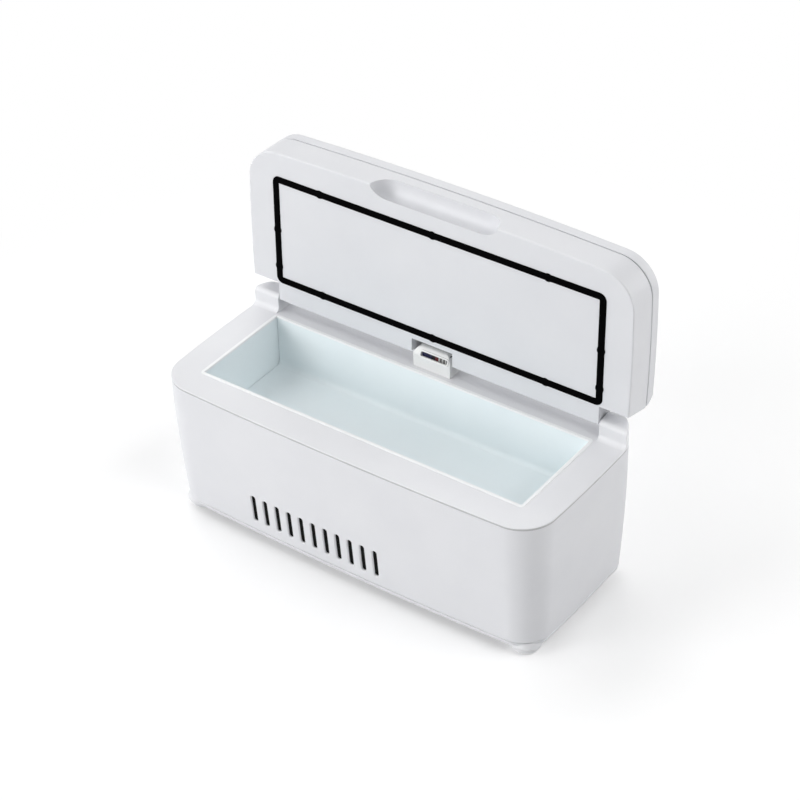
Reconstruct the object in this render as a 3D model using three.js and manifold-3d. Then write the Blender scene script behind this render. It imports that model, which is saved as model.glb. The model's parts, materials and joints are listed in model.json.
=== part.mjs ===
// Insulin cooling case: a bench-top box with a lined compartment, a thermoelectric cooling stack, a fan behind
// the front vents, a battery, and a thick lid on two rear pins with a display and three keys on its outer face.
// Millimetres, +X along the case, -Y at its front, +Z up, Z zero at the surface that the feet stand on.
// The rest position has the lid standing open.

import * as THREE from 'three';
import { mergeVertices } from 'three/addons/utils/BufferGeometryUtils.js';
import Module from 'manifold-3d';

const wasm = await Module();
wasm.setup();

// Clearances
const gap = 0.3; // between pieces that fit together
const seat = 0.1; // between flat faces that rest on each other
const overrun = 3; // how far a cut runs past the face that it opens
const sink = 0.6; // how far a rib or boss is sunk into what carries it

// Case
const caseLength = 240;
const caseDepth = 102;
const caseHeight = 81.2; // lower edge to the deck
const footHeight = 5.4;
const longBow = 2.6; // bulge of the front and rear walls
const shortBow = 1.2; // bulge of the end walls
const frontCorner = 18;
const rearCorner = 15;
const drawIn = 3.6; // how far the walls draw in towards the floor
const wall = 2.6;
const lipRound = 1.2; // rounded top edge of the case wall
const edgeShare = 0.3; // middle point of a small rounded edge, as a share of its radius
const seam = 0.45; // dark line between the case wall and the deck
const coverEdge = 3.3; // visible edge of the bottom cover
const coverFloor = 2.2;
const coverRound = 1.3;
const rimWall = 1.6; // locating rims of the deck and of the bottom cover
const rimDepth = 4;

// Deck and compartment
const deckEdge = 0.9; // visible edge of the deck plate
const deckRound = 0.35;
const deckPlate = 2.4;
const binEnd = 18.9; // ends of the case to the compartment
const binSide = 20.25; // front and rear of the case to the compartment
const stackRoom = 50.2; // height kept for the cooling stack under the compartment
const binLength = caseLength - 2 * binEnd;
const binWidth = caseDepth - 2 * binSide;
const binDepth = caseHeight - stackRoom;
const binRound = 3; // round between the liner's walls and floor
const binCorner = 1;
const trayWall = 1.6;
const trayBevel = 2; // bright bevel round the mouth
const trayBevelDrop = 1.2;
const trayBevelShare = 0.85; // how much of the bevel is cut

// Hinge
const hingeSetback = 8.7; // rear of the case to the pin
const hingeRise = 7.7; // deck to the pin
const barrelRadius = 7.2;
const earWidth = 17;
const earFoot = 1.3; // soft base of the ears and the bridge
const earRound = 6;
const pinRadius = 1.6;
const pinLength = 21;
const openAngle = THREE.MathUtils.degToRad(92.3);

// Wire bridge, in the middle of the hinge line
const bridgeWidth = 25.8;
const bridgeWall = 1.4;
const windowWidth = 19.5;
const windowHeight = 3.8;
const windowRim = 0.9;
const windowProud = 0.7;
const windowRise = 7.4; // deck to the middle of the window
const spigotDepth = 8.4;

// Lid
const lidGap = 1; // deck to the closed lid
const lidHeight = 24.4;
const lidWall = 2.2;
const lidEdgeRound = 0.8;
const lidCoverEdge = 5.3; // height of the outer cover
const lidCoverRound = 4;
const cornerSetback = 11.1; // pin to the rear face of the lid's corners, at the deck
const cornerSlant = 3.1;
const tongueSetback = 0.3; // pin to the lower rear edge between the ears
const tongueSlant = -2;
const lidRearRound = 8.5;
const tongueGap = 0.8; // ears to the lid between them
const knuckleRadius = 5;
const knuckleWidth = 12;
const notchGap = 1; // sides of the cut-out round the wire bridge
const notchDepth = 8.6; // pin to the front of that cut-out
const notchCeiling = 8.8; // pin to the roof of that cut-out

// Finger scoop in the lid's front edge
const scoopLength = 79;
const scoopEnd = 8;
const scoopDepth = 6.8;
const scoopHeight = 10.4;

// Gasket
const gasketEndMargin = 1.9; // compartment to the outer edge of the gasket
const gasketSideMargin = 2.55;
const gasketLength = binLength + 2 * gasketEndMargin;
const gasketWidth = binWidth + 2 * gasketSideMargin;
const gasketShift = -1.1;
const gasketCord = 3.2;
const gasketProud = 0.7;
const gasketGroove = 1.4;
const gasketCorner = 4;
const bumpRadius = 1.5;
const bumpProud = 0.7;

// Vents
const ventCount = 11;
const ventPitch = 8;
const ventWidth = 3.3;
const ventHeight = 16.2;
const ventRise = 19.8; // lower edge to the middle of the vents
const stackShare = 0.07625; // the vents and the cooling stack stand off the middle by this share of the length
const stackX = -stackShare * caseLength;

// Cooling stack, from the liner down
const coldLength = 60;
const coldWidth = 40;
const coldHeight = 8;
const peltierSize = 40;
const peltierHeight = 3.8;
const sinkLength = 64;
const sinkWidth = 60;
const sinkBase = 4;
const finHeight = 8.5;
const finThickness = 1.4;
const finPitch = 5;
const finCount = 12;
const fanSize = 60;
const fanHeight = 12;
const fanBore = 28;
const fanHub = 11;
const fanBlades = 7;
const bladeThickness = 1.2;
const bladeTipGap = 1.3; // blade tips to the bore
const bladeShare = 0.8; // height of the blades in the rotor's height
const bladePitch = THREE.MathUtils.degToRad(38);
const fanStrut = 2.4;
const fanScrewRadius = 1.4;
const fanScrewHead = 2.6;
const sensorRadius = 1.5;
const sensorLength = 9;

// Foam round the liner
const foamFrontRoom = 7.6; // outside of the case to the foam
const foamRearRoom = 15.8;
const foamEndRoom = 9;
const foamFront = caseDepth / 2 - foamFrontRoom;
const foamRear = caseDepth / 2 - foamRearRoom;
const foamEnd = caseLength / 2 - foamEndRoom;
const foamFloor = 11.1;
const foamCorner = 12;

// Battery
const cellCount = 4;
const cellEndRoom = 18.5; // front and rear of the case to the cells
const cellGap = 0.8; // between two cells
const cellCap = 2.8;
const holderWall = 1.4;
const holderRise = 10;
const holderStackGap = 4.2; // heat sink to the holder
const holderEndRoom = 21.9; // end of the case to the holder
const holderLeft = stackX + sinkLength / 2 + holderStackGap;
const holderRight = caseLength / 2 - holderEndRoom;
const batteryX = (holderLeft + holderRight) / 2;
const cellLength = caseDepth - 2 * cellEndRoom;
const cellPitch = (holderRight - holderLeft - 2 * (holderWall + gap)) / cellCount;
const cellRadius = (cellPitch - cellGap) / 2;

// Main board and supply inlet
const boardThickness = 1.6;
const boardStandoff = 5.4;
const boardEndRoom = 22; // end of the case to the board
const boardFanGap = 1.7; // fan to the board
const boardFrontRoom = 15; // front of the case to the board
const boardRearRoom = 8.8;
const boardArmWidth = 9.2;
const boardArmEnd = 12;
const boardLeft = caseLength / 2 - boardEndRoom;
const boardRight = fanSize / 2 + boardFanGap - stackX;
const boardFront = caseDepth / 2 - boardFrontRoom;
const boardRear = caseDepth / 2 - boardRearRoom;
const boardArmFront = boardRear - boardArmWidth;
const postRadius = 2.6;
const jackEndRoom = 46; // end of the case to the supply inlet
const jackX = jackEndRoom - caseLength / 2;
const jackWidth = 10;
const jackHeight = 11;
const jackBody = 12;
const jackNose = 4;
const jackSocket = 2.9;
const jackPin = 0.9;
const jackSocketDepth = 9;
const jackRecess = 0.4;

// Leads
const leadWidth = 17;
const leadCount = 6;
const leadRadius = 0.8;
const leadSetback = 4.2; // pin to the leads behind the window
const leadDrop = 2; // pin to the leads under the deck
const bundleRadius = 1.8;
const bundleReach = 20;

// Fasteners and feet
const screwInset = 14; // ends of the case to the bottom screws
const screwFootGap = 16; // feet to the bottom screws
const screwShank = 1.4;
const screwHead = 2.9;
const screwHeadHeight = 1.5;
const screwLength = 12;
const bossRadius = 3.8;
const bossHeight = 15;
const footEndRoom = 14; // outside of the case to the middle of a foot
const footSideRoom = 15;
const footX = caseLength / 2 - footEndRoom;
const footY = caseDepth / 2 - footSideRoom;
const screwY = footY - screwFootGap;
const footRadius = 8;
const footPeg = 2.4;
const footPegLength = 4.6;

// Magnets
const magnetRadius = 4;
const magnetHeight = 3;
const magnetAside = 22.5; // end of the finger scoop to the magnets
const magnetFrontRoom = 9.8; // front of the case to the magnets
const magnetX = scoopLength / 2 + magnetAside;
const magnetY = caseDepth / 2 - magnetFrontRoom;

// Display and keys
const lensLength = 52;
const lensWidth = 24;
const lensThickness = 1.3;
const lensLedge = 2;
const lensY = -4;
const panelLength = 46;
const panelWidth = 18;
const displayBoardLength = 78;
const displayBoardRoom = 44; // depth of the case that the display board leaves free
const displayBoardWidth = caseDepth - displayBoardRoom;
const displayBoardY = -11;
const displayBoardDrop = 6; // cover's inner face to the board
const displayPost = 2.4;
const keyCount = 3;
const keyPitch = 18;
const keyLength = 12;
const keyWidth = 7;
const keyY = -28;
const keyProud = 0.7;
const keyFlange = 1.2;
const keyTravel = 0.7;
const switchSize = 6;
const lidFoamHeight = 9;
const lidFoamEndRoom = 22; // outside of the lid to the foam
const lidFoamFrontRoom = 14.5;
const lidFoamRearRoom = 14.3; // pin to the foam
const lidFoamEnd = caseLength / 2 - lidFoamEndRoom;
const lidFoamFront = caseDepth / 2 - lidFoamFrontRoom;
const lidFoamRear = caseDepth / 2 - hingeSetback - lidFoamRearRoom;

// Places worked out from the sizes
const edgeZ = footHeight;
const deckZ = edgeZ + caseHeight;
const hingeY = caseDepth / 2 - hingeSetback;
const hingeZ = deckZ + hingeRise;
const earInner = caseLength / 2 - earWidth;
const lidBottom = deckZ + lidGap;
const lidTop = lidBottom + lidHeight;
const lidSeam = lidTop - lidCoverEdge;
const trayFloorZ = deckZ - binDepth - trayWall;
const coverTop = edgeZ + coverFloor;

// Shape helpers
const outer = {
  length: caseLength, depth: caseDepth, front: frontCorner, rear: rearCorner, bowX: shortBow, bowY: longBow,
  corner: 5, long: 6, short: 2,
};

function block(length, depth, radius, x = 0, y = 0) {
  return { length, depth, front: radius, rear: radius, bowX: 0, bowY: 0, corner: 3, long: 1, short: 1, x, y };
}

// A corner keeps at least this share of its round where the outline is drawn in
const leastRoundShare = 0.02;

// One level of an upright shell: a rectangle with round corners whose sides bulge, drawn in by inset
function level(plan, inset, z) {
  const halfX = plan.length / 2 - plan.bowX - inset;
  const halfY = plan.depth / 2 - plan.bowY - inset;
  const corners = [[1, -1, plan.front, -1], [1, 1, plan.rear, 0], [-1, 1, plan.rear, 1], [-1, -1, plan.front, 2]];
  const straight = [];
  corners.forEach(([sideX, sideY, radius, quarter], index) => {
    const round = Math.max(radius - inset, plan.rear * leastRoundShare);
    for (let step = 0; step <= plan.corner; step++) {
      const angle = (quarter + step / plan.corner) * Math.PI / 2;
      const x = sideX * (halfX - round) + round * Math.cos(angle);
      const y = sideY * (halfY - round) + round * Math.sin(angle);
      straight.push({ x, y, side: step === plan.corner ? (index % 2 ? plan.long : plan.short) : 1 });
    }
  });
  const ring = [];
  straight.forEach((from, index) => {
    const to = straight[(index + 1) % straight.length];
    for (let step = 0; step < from.side; step++) {
      const x = THREE.MathUtils.lerp(from.x, to.x, step / from.side);
      const y = THREE.MathUtils.lerp(from.y, to.y, step / from.side);
      const bulgeX = 1 + plan.bowX / halfX * (1 - (y / halfY) ** 2);
      const bulgeY = 1 + plan.bowY / halfY * (1 - (x / halfX) ** 2);
      ring.push(new THREE.Vector3(x * bulgeX + (plan.x ?? 0), y * bulgeY + (plan.y ?? 0), z));
    }
  });
  return ring;
}

// A closed body through levels with the same number of points, from the lowest up
function loft(levels) {
  const points = levels.flat();
  const count = levels[0].length;
  const faces = [];
  for (let ring = 0; ring + 1 < levels.length; ring++) {
    for (let k = 0; k < count; k++) {
      const a = ring * count + k;
      const b = ring * count + (k + 1) % count;
      faces.push(a, b, b + count, a, b + count, a + count);
    }
  }
  const middle = (ring) => ring.reduce((sum, p) => sum.add(p), new THREE.Vector3()).divideScalar(count);
  points.push(middle(levels[0]), middle(levels.at(-1)));
  const last = (levels.length - 1) * count;
  for (let k = 0; k < count; k++) {
    const next = (k + 1) % count;
    faces.push(points.length - 2, next, k);
    faces.push(points.length - 1, last + k, last + next);
  }
  const geometry = new THREE.BufferGeometry().setFromPoints(points);
  geometry.setIndex(faces);
  return geometry;
}

function slab(plan, inset, low, high) {
  return loft([level(plan, inset, low), level(plan, inset, high)]);
}

function box(x0, x1, y0, y1, z0, z1) {
  const geometry = new THREE.BoxGeometry(x1 - x0, y1 - y0, z1 - z0);
  return geometry.translate((x0 + x1) / 2, (y0 + y1) / 2, (z0 + z1) / 2);
}

function post(radius, x, y, low, high, sides = 12) {
  const geometry = new THREE.CylinderGeometry(radius, radius, high - low, sides).rotateX(Math.PI / 2);
  return geometry.translate(x, y, (low + high) / 2);
}

function axleX(radius, x0, x1, y, z, sides = 12) {
  const geometry = new THREE.CylinderGeometry(radius, radius, x1 - x0, sides).rotateZ(Math.PI / 2);
  return geometry.translate((x0 + x1) / 2, y, z);
}

function axleY(radius, y0, y1, x, z, sides = 12) {
  return new THREE.CylinderGeometry(radius, radius, y1 - y0, sides).translate(x, (y0 + y1) / 2, z);
}

// An outline in Y and Z drawn out along X
function alongX(shape, x0, x1, curveSegments = 6) {
  const geometry = new THREE.ExtrudeGeometry(shape, { depth: x1 - x0, bevelEnabled: false, curveSegments });
  const turn = new THREE.Matrix4().makeBasis(
    new THREE.Vector3(0, 1, 0), new THREE.Vector3(0, 0, 1), new THREE.Vector3(1, 0, 0));
  return geometry.applyMatrix4(turn).translate(x0, 0, 0);
}

// An outline in X and Z drawn out along Y
function alongY(shape, y0, y1, curveSegments = 3) {
  const geometry = new THREE.ExtrudeGeometry(shape, { depth: y1 - y0, bevelEnabled: false, curveSegments });
  return geometry.rotateX(Math.PI / 2).translate(0, y1, 0);
}

function alongZ(shape, z0, z1, curveSegments = 3) {
  const geometry = new THREE.ExtrudeGeometry(shape, { depth: z1 - z0, bevelEnabled: false, curveSegments });
  return geometry.translate(0, 0, z0);
}

// A slot with round ends about a point, longest along the first or the second axis
function slot(x, y, width, height) {
  const radius = Math.min(width, height) / 2;
  const reachX = width / 2 - radius;
  const reachY = height / 2 - radius;
  const shape = new THREE.Shape();
  if (reachX > reachY) {
    shape.absarc(x + reachX, y, radius, -Math.PI / 2, Math.PI / 2);
    shape.absarc(x - reachX, y, radius, Math.PI / 2, Math.PI * 3 / 2);
  } else {
    shape.absarc(x, y + reachY, radius, 0, Math.PI);
    shape.absarc(x, y - reachY, radius, Math.PI, Math.PI * 2);
  }
  shape.closePath();
  return shape;
}

function solid(shape) {
  if (!shape.isBufferGeometry) return shape;
  const bare = shape.clone();
  bare.deleteAttribute('normal');
  bare.deleteAttribute('uv');
  const merged = mergeVertices(bare);
  return new wasm.Manifold(new wasm.Mesh({
    numProp: 3,
    vertProperties: new Float32Array(merged.attributes.position.array),
    triVerts: new Uint32Array(merged.index.array),
  }));
}

const join = (first, ...rest) => rest.reduce((sum, shape) => sum.add(solid(shape)), solid(first));
const cut = (first, ...rest) => rest.reduce((left, shape) => left.subtract(solid(shape)), solid(first));
const common = (first, ...rest) => rest.reduce((left, shape) => left.intersect(solid(shape)), solid(first));

function geometryOf(shape) {
  const mesh = solid(shape).getMesh();
  const geometry = new THREE.BufferGeometry();
  geometry.setAttribute('position', new THREE.BufferAttribute(mesh.vertProperties, 3));
  geometry.setIndex(new THREE.BufferAttribute(mesh.triVerts, 1));
  geometry.computeVertexNormals();
  return geometry;
}

// Finishes
const finish = (color, roughness, metalness = 0) => new THREE.MeshStandardMaterial({ color, roughness, metalness });
const white = finish(0xe3e4e7, 0.42);
const trim = finish(0xf2f3f2, 0.35);
const liner = finish(0xd9ecec, 0.38);
const rubber = finish(0xd9dadb, 0.7);
const sealRubber = finish(0x08090a, 0.6);
const foam = finish(0xf4f2ea, 0.95);
const bareMetal = finish(0xb9bcc0, 0.35, 1);
const steel = finish(0x8f9296, 0.3, 1);
const ceramic = finish(0xf0efe9, 0.6);
const black = finish(0x15161a, 0.5);
const boardGreen = finish(0x14532f, 0.5);
const cellWrap = finish(0x2f6f9f, 0.35);
const lensBlack = finish(0x07090c, 0.08);
const leadBlue = finish(0x1b2350, 0.5);

// The open lid turns about the pins; its pieces are described in the closed position
const product = new THREE.Group();
const lidTurn = new THREE.Group();
const lid = new THREE.Group();
product.add(lidTurn);
lidTurn.add(lid);
lidTurn.position.set(0, hingeY, hingeZ);
lidTurn.rotation.x = -openAngle;
lid.position.set(0, -hingeY, -hingeZ);

function piece(name, shape, material, parent = product) {
  const mesh = new THREE.Mesh(geometryOf(shape), material);
  mesh.name = name;
  parent.add(mesh);
  return mesh;
}

const bothSides = [[-1, 'left'], [1, 'right']];
const fourCorners = [[-1, -1, 'front_left'], [1, -1, 'front_right'], [-1, 1, 'rear_left'], [1, 1, 'rear_right']];

// Case wall
const drawnIn = (z) => drawIn * ((deckZ - z) / caseHeight) ** 2;
const heightShares = [0, 0.35, 0.7, 1];
const wallLevels = (low, high, inset) => heightShares.map((share) => {
  const z = THREE.MathUtils.lerp(low, high, share);
  return level(outer, drawnIn(z) + inset, z);
});
const caseBottom = edgeZ + coverEdge + gap;
const caseTop = deckZ - deckEdge - seam;
const screwX = caseLength / 2 - screwInset;

function lowerCase() {
  const skin = loft([
    ...wallLevels(caseBottom, caseTop - lipRound, 0),
    level(outer, lipRound * edgeShare, caseTop - lipRound * edgeShare),
    level(outer, lipRound, caseTop),
  ]);
  const hollow = loft(wallLevels(caseBottom - overrun, caseTop + overrun, wall));
  let shell = cut(skin, hollow);
  for (const [sideX, sideY] of fourCorners) {
    const x = sideX * screwX;
    const y = sideY * screwY;
    const wallX = sideX * (caseLength / 2 - drawIn - wall / 2);
    const rib = box(Math.min(x, wallX), Math.max(x, wallX), y - rimWall / 2, y + rimWall / 2,
      caseBottom, caseBottom + bossHeight);
    shell = join(shell, post(bossRadius, x, y, caseBottom, caseBottom + bossHeight), rib);
    shell = cut(shell, post(screwShank + gap, x, y, caseBottom - overrun, caseBottom + screwLength));
  }
  const ventReach = longBow + drawIn + wall + overrun;
  for (let index = 0; index < ventCount; index++) {
    const x = stackX + (index - (ventCount - 1) / 2) * ventPitch;
    const vent = slot(x, edgeZ + ventRise, ventWidth, ventHeight);
    shell = cut(shell, alongY(vent, -caseDepth / 2 - overrun, -caseDepth / 2 + ventReach));
  }
  const inlet = axleY(jackNose + gap, caseDepth / 2 - ventReach, caseDepth / 2 + overrun, jackX, jackZ, 20);
  return cut(shell, inlet);
}

// Floor of the case, with its intake grille, standoffs and holes for the screws and feet
const boardBottom = coverTop + boardStandoff + seat;
const boardTop = boardBottom + boardThickness;
const jackZ = boardTop + seat + jackHeight / 2;
const grilleCount = 7;
const boardPosts = [
  [-boardLeft + 2 * postRadius, -boardFront + 2 * postRadius],
  [-boardRight - 2 * postRadius, -boardFront + 2 * postRadius],
  [-boardLeft + 2 * postRadius, boardArmFront - 2 * postRadius],
  [boardArmEnd - 2 * postRadius, boardRear - 2 * postRadius],
];

function bottomCover() {
  const edgeTop = edgeZ + coverEdge;
  const rimTop = edgeTop + rimDepth;
  const plate = loft([
    level(outer, drawnIn(edgeZ) + coverRound, edgeZ),
    level(outer, drawnIn(edgeZ) + coverRound * edgeShare, edgeZ + coverRound * edgeShare),
    level(outer, drawnIn(edgeZ + coverRound), edgeZ + coverRound),
    level(outer, drawnIn(edgeTop), edgeTop),
  ]);
  const rim = slab(outer, drawIn + wall + gap, edgeTop - sink, rimTop);
  const hollow = slab(outer, drawIn + wall + gap + rimWall, coverTop, rimTop + overrun);
  let cover = cut(join(plate, rim), hollow);
  for (const [sideX, sideY] of fourCorners) {
    const x = sideX * screwX;
    const y = sideY * screwY;
    const clear = bossRadius + gap;
    const ribEnd = sideX * (caseLength / 2);
    cover = cut(cover, box(Math.min(x - clear, ribEnd), Math.max(x + clear, ribEnd), y - clear, y + clear,
      edgeTop, rimTop + overrun));
    cover = join(cover, post(bossRadius, x, y, coverTop - sink, edgeTop));
    cover = cut(cover, post(screwShank + gap, x, y, edgeZ - overrun, edgeTop + overrun),
      post(screwHead + gap, x, y, edgeZ - overrun, edgeZ + screwHeadHeight + gap));
    cover = cut(cover, post(footPeg + gap, sideX * footX, sideY * footY, edgeZ - overrun, coverTop + overrun, 12));
  }
  for (const [x, y] of boardPosts) {
    cover = join(cover, post(postRadius, x, y, coverTop - sink, coverTop + boardStandoff, 12));
  }
  for (let index = 0; index < grilleCount; index++) {
    const y = (index - (grilleCount - 1) / 2) * ventPitch;
    const opening = slot(stackX, y, 2 * fanBore - ventPitch, ventWidth);
    cover = cut(cover, alongZ(opening, edgeZ - overrun, coverTop + overrun));
  }
  return cover;
}

// Side outline of the ears and the wire bridge: upright front, round top over the pin
function barrelOutline(inset, base, foot) {
  const front = hingeY - barrelRadius + inset;
  const shape = new THREE.Shape();
  if (foot > 0) {
    shape.moveTo(front - foot, base);
    shape.lineTo(front - foot, deckZ);
    shape.quadraticCurveTo(front, deckZ, front, deckZ + foot);
  } else {
    shape.moveTo(front, base);
    shape.lineTo(front, hingeZ);
  }
  shape.absarc(hingeY, hingeZ, barrelRadius - inset, Math.PI, 0, true);
  shape.lineTo(hingeY + barrelRadius - inset, base);
  shape.closePath();
  return shape;
}

// Deck plate with the hinge ears
const spigotX = bridgeWidth / 2 - bridgeWall;
const spigotFront = hingeY - barrelRadius + bridgeWall;

function topDeck() {
  const skirt = wall + gap;
  const skirtBottom = deckZ - deckPlate - rimDepth;
  let deck = loft([
    level(outer, skirt, skirtBottom),
    level(outer, skirt, deckZ - deckEdge),
    level(outer, 0, deckZ - deckEdge),
    level(outer, 0, deckZ - deckRound),
    level(outer, deckRound, deckZ),
  ]);
  deck = cut(deck, slab(outer, skirt + rimWall, skirtBottom - overrun, deckZ - deckPlate));
  const mouth = block(binLength + 2 * (trayBevel + gap), binWidth + 2 * (trayBevel + gap), binCorner + trayBevel);
  deck = cut(deck, slab(mouth, 0, skirtBottom - overrun, deckZ + overrun));
  const earTop = deckZ + hingeRise + barrelRadius;
  const roundShares = [0, 1 / 3, 2 / 3, 1];
  const envelope = loft([
    level(outer, deckRound, deckZ - sink),
    ...roundShares.map((share) => {
      const angle = share * Math.PI / 2;
      const inset = earRound * (1 - Math.cos(angle));
      return level(outer, deckRound + inset, earTop - earRound * (1 - Math.sin(angle)));
    }),
  ]);
  for (const [side] of bothSides) {
    const from = side < 0 ? -caseLength / 2 : earInner;
    const ear = alongX(barrelOutline(0, deckZ - sink, earFoot), from, from + earWidth);
    deck = join(deck, common(ear, envelope));
    const boreEnd = side * (earInner - tongueGap - knuckleWidth + pinLength + gap);
    const boreStart = side * (earInner - overrun);
    deck = cut(deck, axleX(pinRadius + gap, Math.min(boreStart, boreEnd), Math.max(boreStart, boreEnd),
      hingeY, hingeZ));
  }
  const spigotHole = box(-spigotX - gap, spigotX + gap, spigotFront - gap, spigotFront + spigotDepth + gap,
    skirtBottom - overrun, deckZ + overrun);
  return cut(deck, spigotHole);
}

// Small housing over the leads, hollow, with a window in its front and a bore about the pin line in each side
function wireBridge() {
  const half = bridgeWidth / 2;
  const base = deckZ + seat;
  const front = hingeY - barrelRadius;
  const windowZ = deckZ + windowRise;
  const spigotLow = deckZ - deckPlate;
  let housing = alongX(barrelOutline(0, base, 0), -half, half);
  const frame = alongY(slot(0, windowZ, windowWidth + 2 * windowRim, windowHeight + 2 * windowRim),
    front - windowProud, front + sink);
  const spigot = box(-spigotX, spigotX, spigotFront, spigotFront + spigotDepth, spigotLow, base + sink);
  housing = join(housing, frame, spigot);
  const hollow = alongX(barrelOutline(bridgeWall, deckZ + bridgeWall, 0), -spigotX + bridgeWall / 2,
    spigotX - bridgeWall / 2);
  const throat = box(-spigotX + bridgeWall, spigotX - bridgeWall, spigotFront + bridgeWall / 2,
    spigotFront + spigotDepth - bridgeWall, spigotLow - overrun, deckZ + 2 * bridgeWall);
  const opening = alongY(slot(0, windowZ, windowWidth, windowHeight), front - overrun, spigotFront + overrun);
  const bore = axleX(bundleRadius + 2 * gap, -half - overrun, half + overrun, hingeY, hingeZ, 14);
  return cut(housing, hollow, throat, opening, bore);
}

// Liner of the compartment
const trayPlan = block(binLength + 2 * trayBevel, binWidth + 2 * trayBevel, binCorner + trayBevel);

function innerTray() {
  const cavity = block(binLength, binWidth, binCorner);
  const floor = deckZ - binDepth;
  const body = slab(trayPlan, 0, trayFloorZ, deckZ);
  const roundShares = [0, 1 / 3, 2 / 3, 1];
  const hollow = loft([
    ...roundShares.map((share) => {
      const angle = share * Math.PI / 2;
      return level(cavity, binRound * (1 - Math.sin(angle)), floor + binRound * (1 - Math.cos(angle)));
    }),
    level(cavity, 0, deckZ - trayBevelDrop),
    level(cavity, -trayBevel * trayBevelShare, deckZ),
    level(cavity, -trayBevel * trayBevelShare, deckZ + overrun),
  ]);
  return cut(body, hollow);
}

// Foam round the liner, open where the cold plate passes and pocketed for the magnets
const foamBottom = trayFloorZ - foamFloor;
const foamTop = deckZ - deckPlate - gap;

function insulationBlock() {
  const plan = block(2 * foamEnd, foamFront + foamRear, foamCorner, 0, (foamRear - foamFront) / 2);
  const around = slab(plan, 0, foamBottom, foamTop);
  const hollow = slab(trayPlan, -gap, trayFloorZ - gap, foamTop + overrun);
  const passage = box(stackX - coldLength / 2 - gap, stackX + coldLength / 2 + 2 * (gap + sensorRadius) + gap,
    -coldWidth / 2 - gap, coldWidth / 2 + gap, foamBottom - overrun, trayFloorZ + overrun);
  const pockets = bothSides.map(([side]) => post(magnetRadius + gap, side * magnetX, -magnetY,
    foamTop - magnetHeight - gap, foamTop + overrun, 14));
  return cut(around, hollow, passage, ...pockets);
}

// Cooling stack
const coldTop = trayFloorZ - gap;
const coldBottom = coldTop - coldHeight;
const peltierBottom = coldBottom - gap - peltierHeight;
const sinkTop = Math.min(peltierBottom, foamBottom) - gap;
const finBottom = sinkTop - sinkBase - finHeight;
const fanTop = finBottom - gap;
const fanBottom = fanTop - fanHeight;
const fanScrewReach = (finCount / 2 - 1) * finPitch;

function heatSink() {
  let body = box(stackX - sinkLength / 2, stackX + sinkLength / 2, -sinkWidth / 2, sinkWidth / 2,
    sinkTop - sinkBase, sinkTop);
  for (let index = 0; index < finCount; index++) {
    const x = stackX + (index - (finCount - 1) / 2) * finPitch;
    body = join(body, box(x - finThickness / 2, x + finThickness / 2, -sinkWidth / 2, sinkWidth / 2,
      finBottom, sinkTop - sinkBase + sink));
  }
  return body;
}

function fanFrame() {
  const square = block(fanSize, fanSize, fanStrut, stackX, 0);
  const bore = post(fanBore, stackX, 0, fanBottom - overrun, fanTop + overrun, 24);
  let frame = cut(slab(square, 0, fanBottom, fanTop), bore);
  for (const angle of [0, Math.PI * 2 / 3, Math.PI * 4 / 3]) {
    const strut = box(fanHub / 2, fanBore + sink, -fanStrut / 2, fanStrut / 2, fanBottom, fanBottom + fanStrut);
    frame = join(frame, strut.rotateZ(angle).translate(stackX, 0, 0));
  }
  frame = join(frame, post(fanHub, stackX, 0, fanBottom, fanBottom + fanStrut, 20));
  frame = cut(frame, post(pinRadius + gap, stackX, 0, fanBottom - overrun, fanBottom + fanStrut + overrun, 12));
  for (const [sideX, sideY] of fourCorners) {
    const x = stackX + sideX * fanScrewReach;
    const y = sideY * fanScrewReach;
    frame = cut(frame, post(fanScrewRadius + gap, x, y, fanBottom - overrun, fanTop + overrun, 10));
  }
  return frame;
}

function fanRotor() {
  const low = fanBottom + fanStrut + gap;
  const high = fanTop - gap;
  const tip = fanBore - bladeTipGap;
  const bladeHeight = (high - low) * bladeShare;
  let rotor = join(post(fanHub, stackX, 0, low, high, 20), post(pinRadius, stackX, 0, fanBottom + gap, low + sink, 12));
  for (let index = 0; index < fanBlades; index++) {
    const blade = box(fanHub - sink, tip, -bladeThickness / 2, bladeThickness / 2, -bladeHeight / 2, bladeHeight / 2);
    blade.rotateX(bladePitch).rotateZ(index / fanBlades * Math.PI * 2).translate(stackX, 0, (low + high) / 2);
    rotor = join(rotor, blade);
  }
  return rotor;
}

// Screw with its head down: head height below z, shank above it
function screw(x, y, z, head, headHeight, shank, length) {
  const profile = [[0, -headHeight], [head, -headHeight], [head, 0], [shank, 0], [shank, length - shank],
    [0, length]];
  const points = profile.map(([radius, height]) => new THREE.Vector2(radius, height));
  return new THREE.LatheGeometry(points, 8).rotateX(Math.PI / 2).translate(x, y, z);
}

// Battery
const cellBottom = coverTop + seat + holderWall + seat;
const cellZ = cellBottom + cellRadius;
const cellX = (index) => batteryX + (index - (cellCount - 1) / 2) * cellPitch;

function batteryHolder() {
  const halfX = cellCount * cellPitch / 2 + gap;
  const halfY = cellLength / 2 + gap;
  const low = coverTop + seat;
  const tub = box(batteryX - halfX - holderWall, batteryX + halfX + holderWall, -halfY - holderWall,
    halfY + holderWall, low, low + holderWall + holderRise);
  const hollow = box(batteryX - halfX, batteryX + halfX, -halfY, halfY, low + holderWall,
    low + holderWall + holderRise + overrun);
  return cut(tub, hollow);
}

function batteryCell(index) {
  const end = cellLength / 2;
  const can = axleY(cellRadius, -end, end - cellRadius / 9, cellX(index), cellZ, 14);
  const button = axleY(cellCap, end - cellRadius / 9 - sink, end, cellX(index), cellZ, 10);
  return join(can, button);
}

// Main board: a plate in an L with its parts on top, and the connector that takes the leads
const leadY = hingeY - leadDrop;
const connectorTop = boardTop + 3 * boardThickness;

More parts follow.
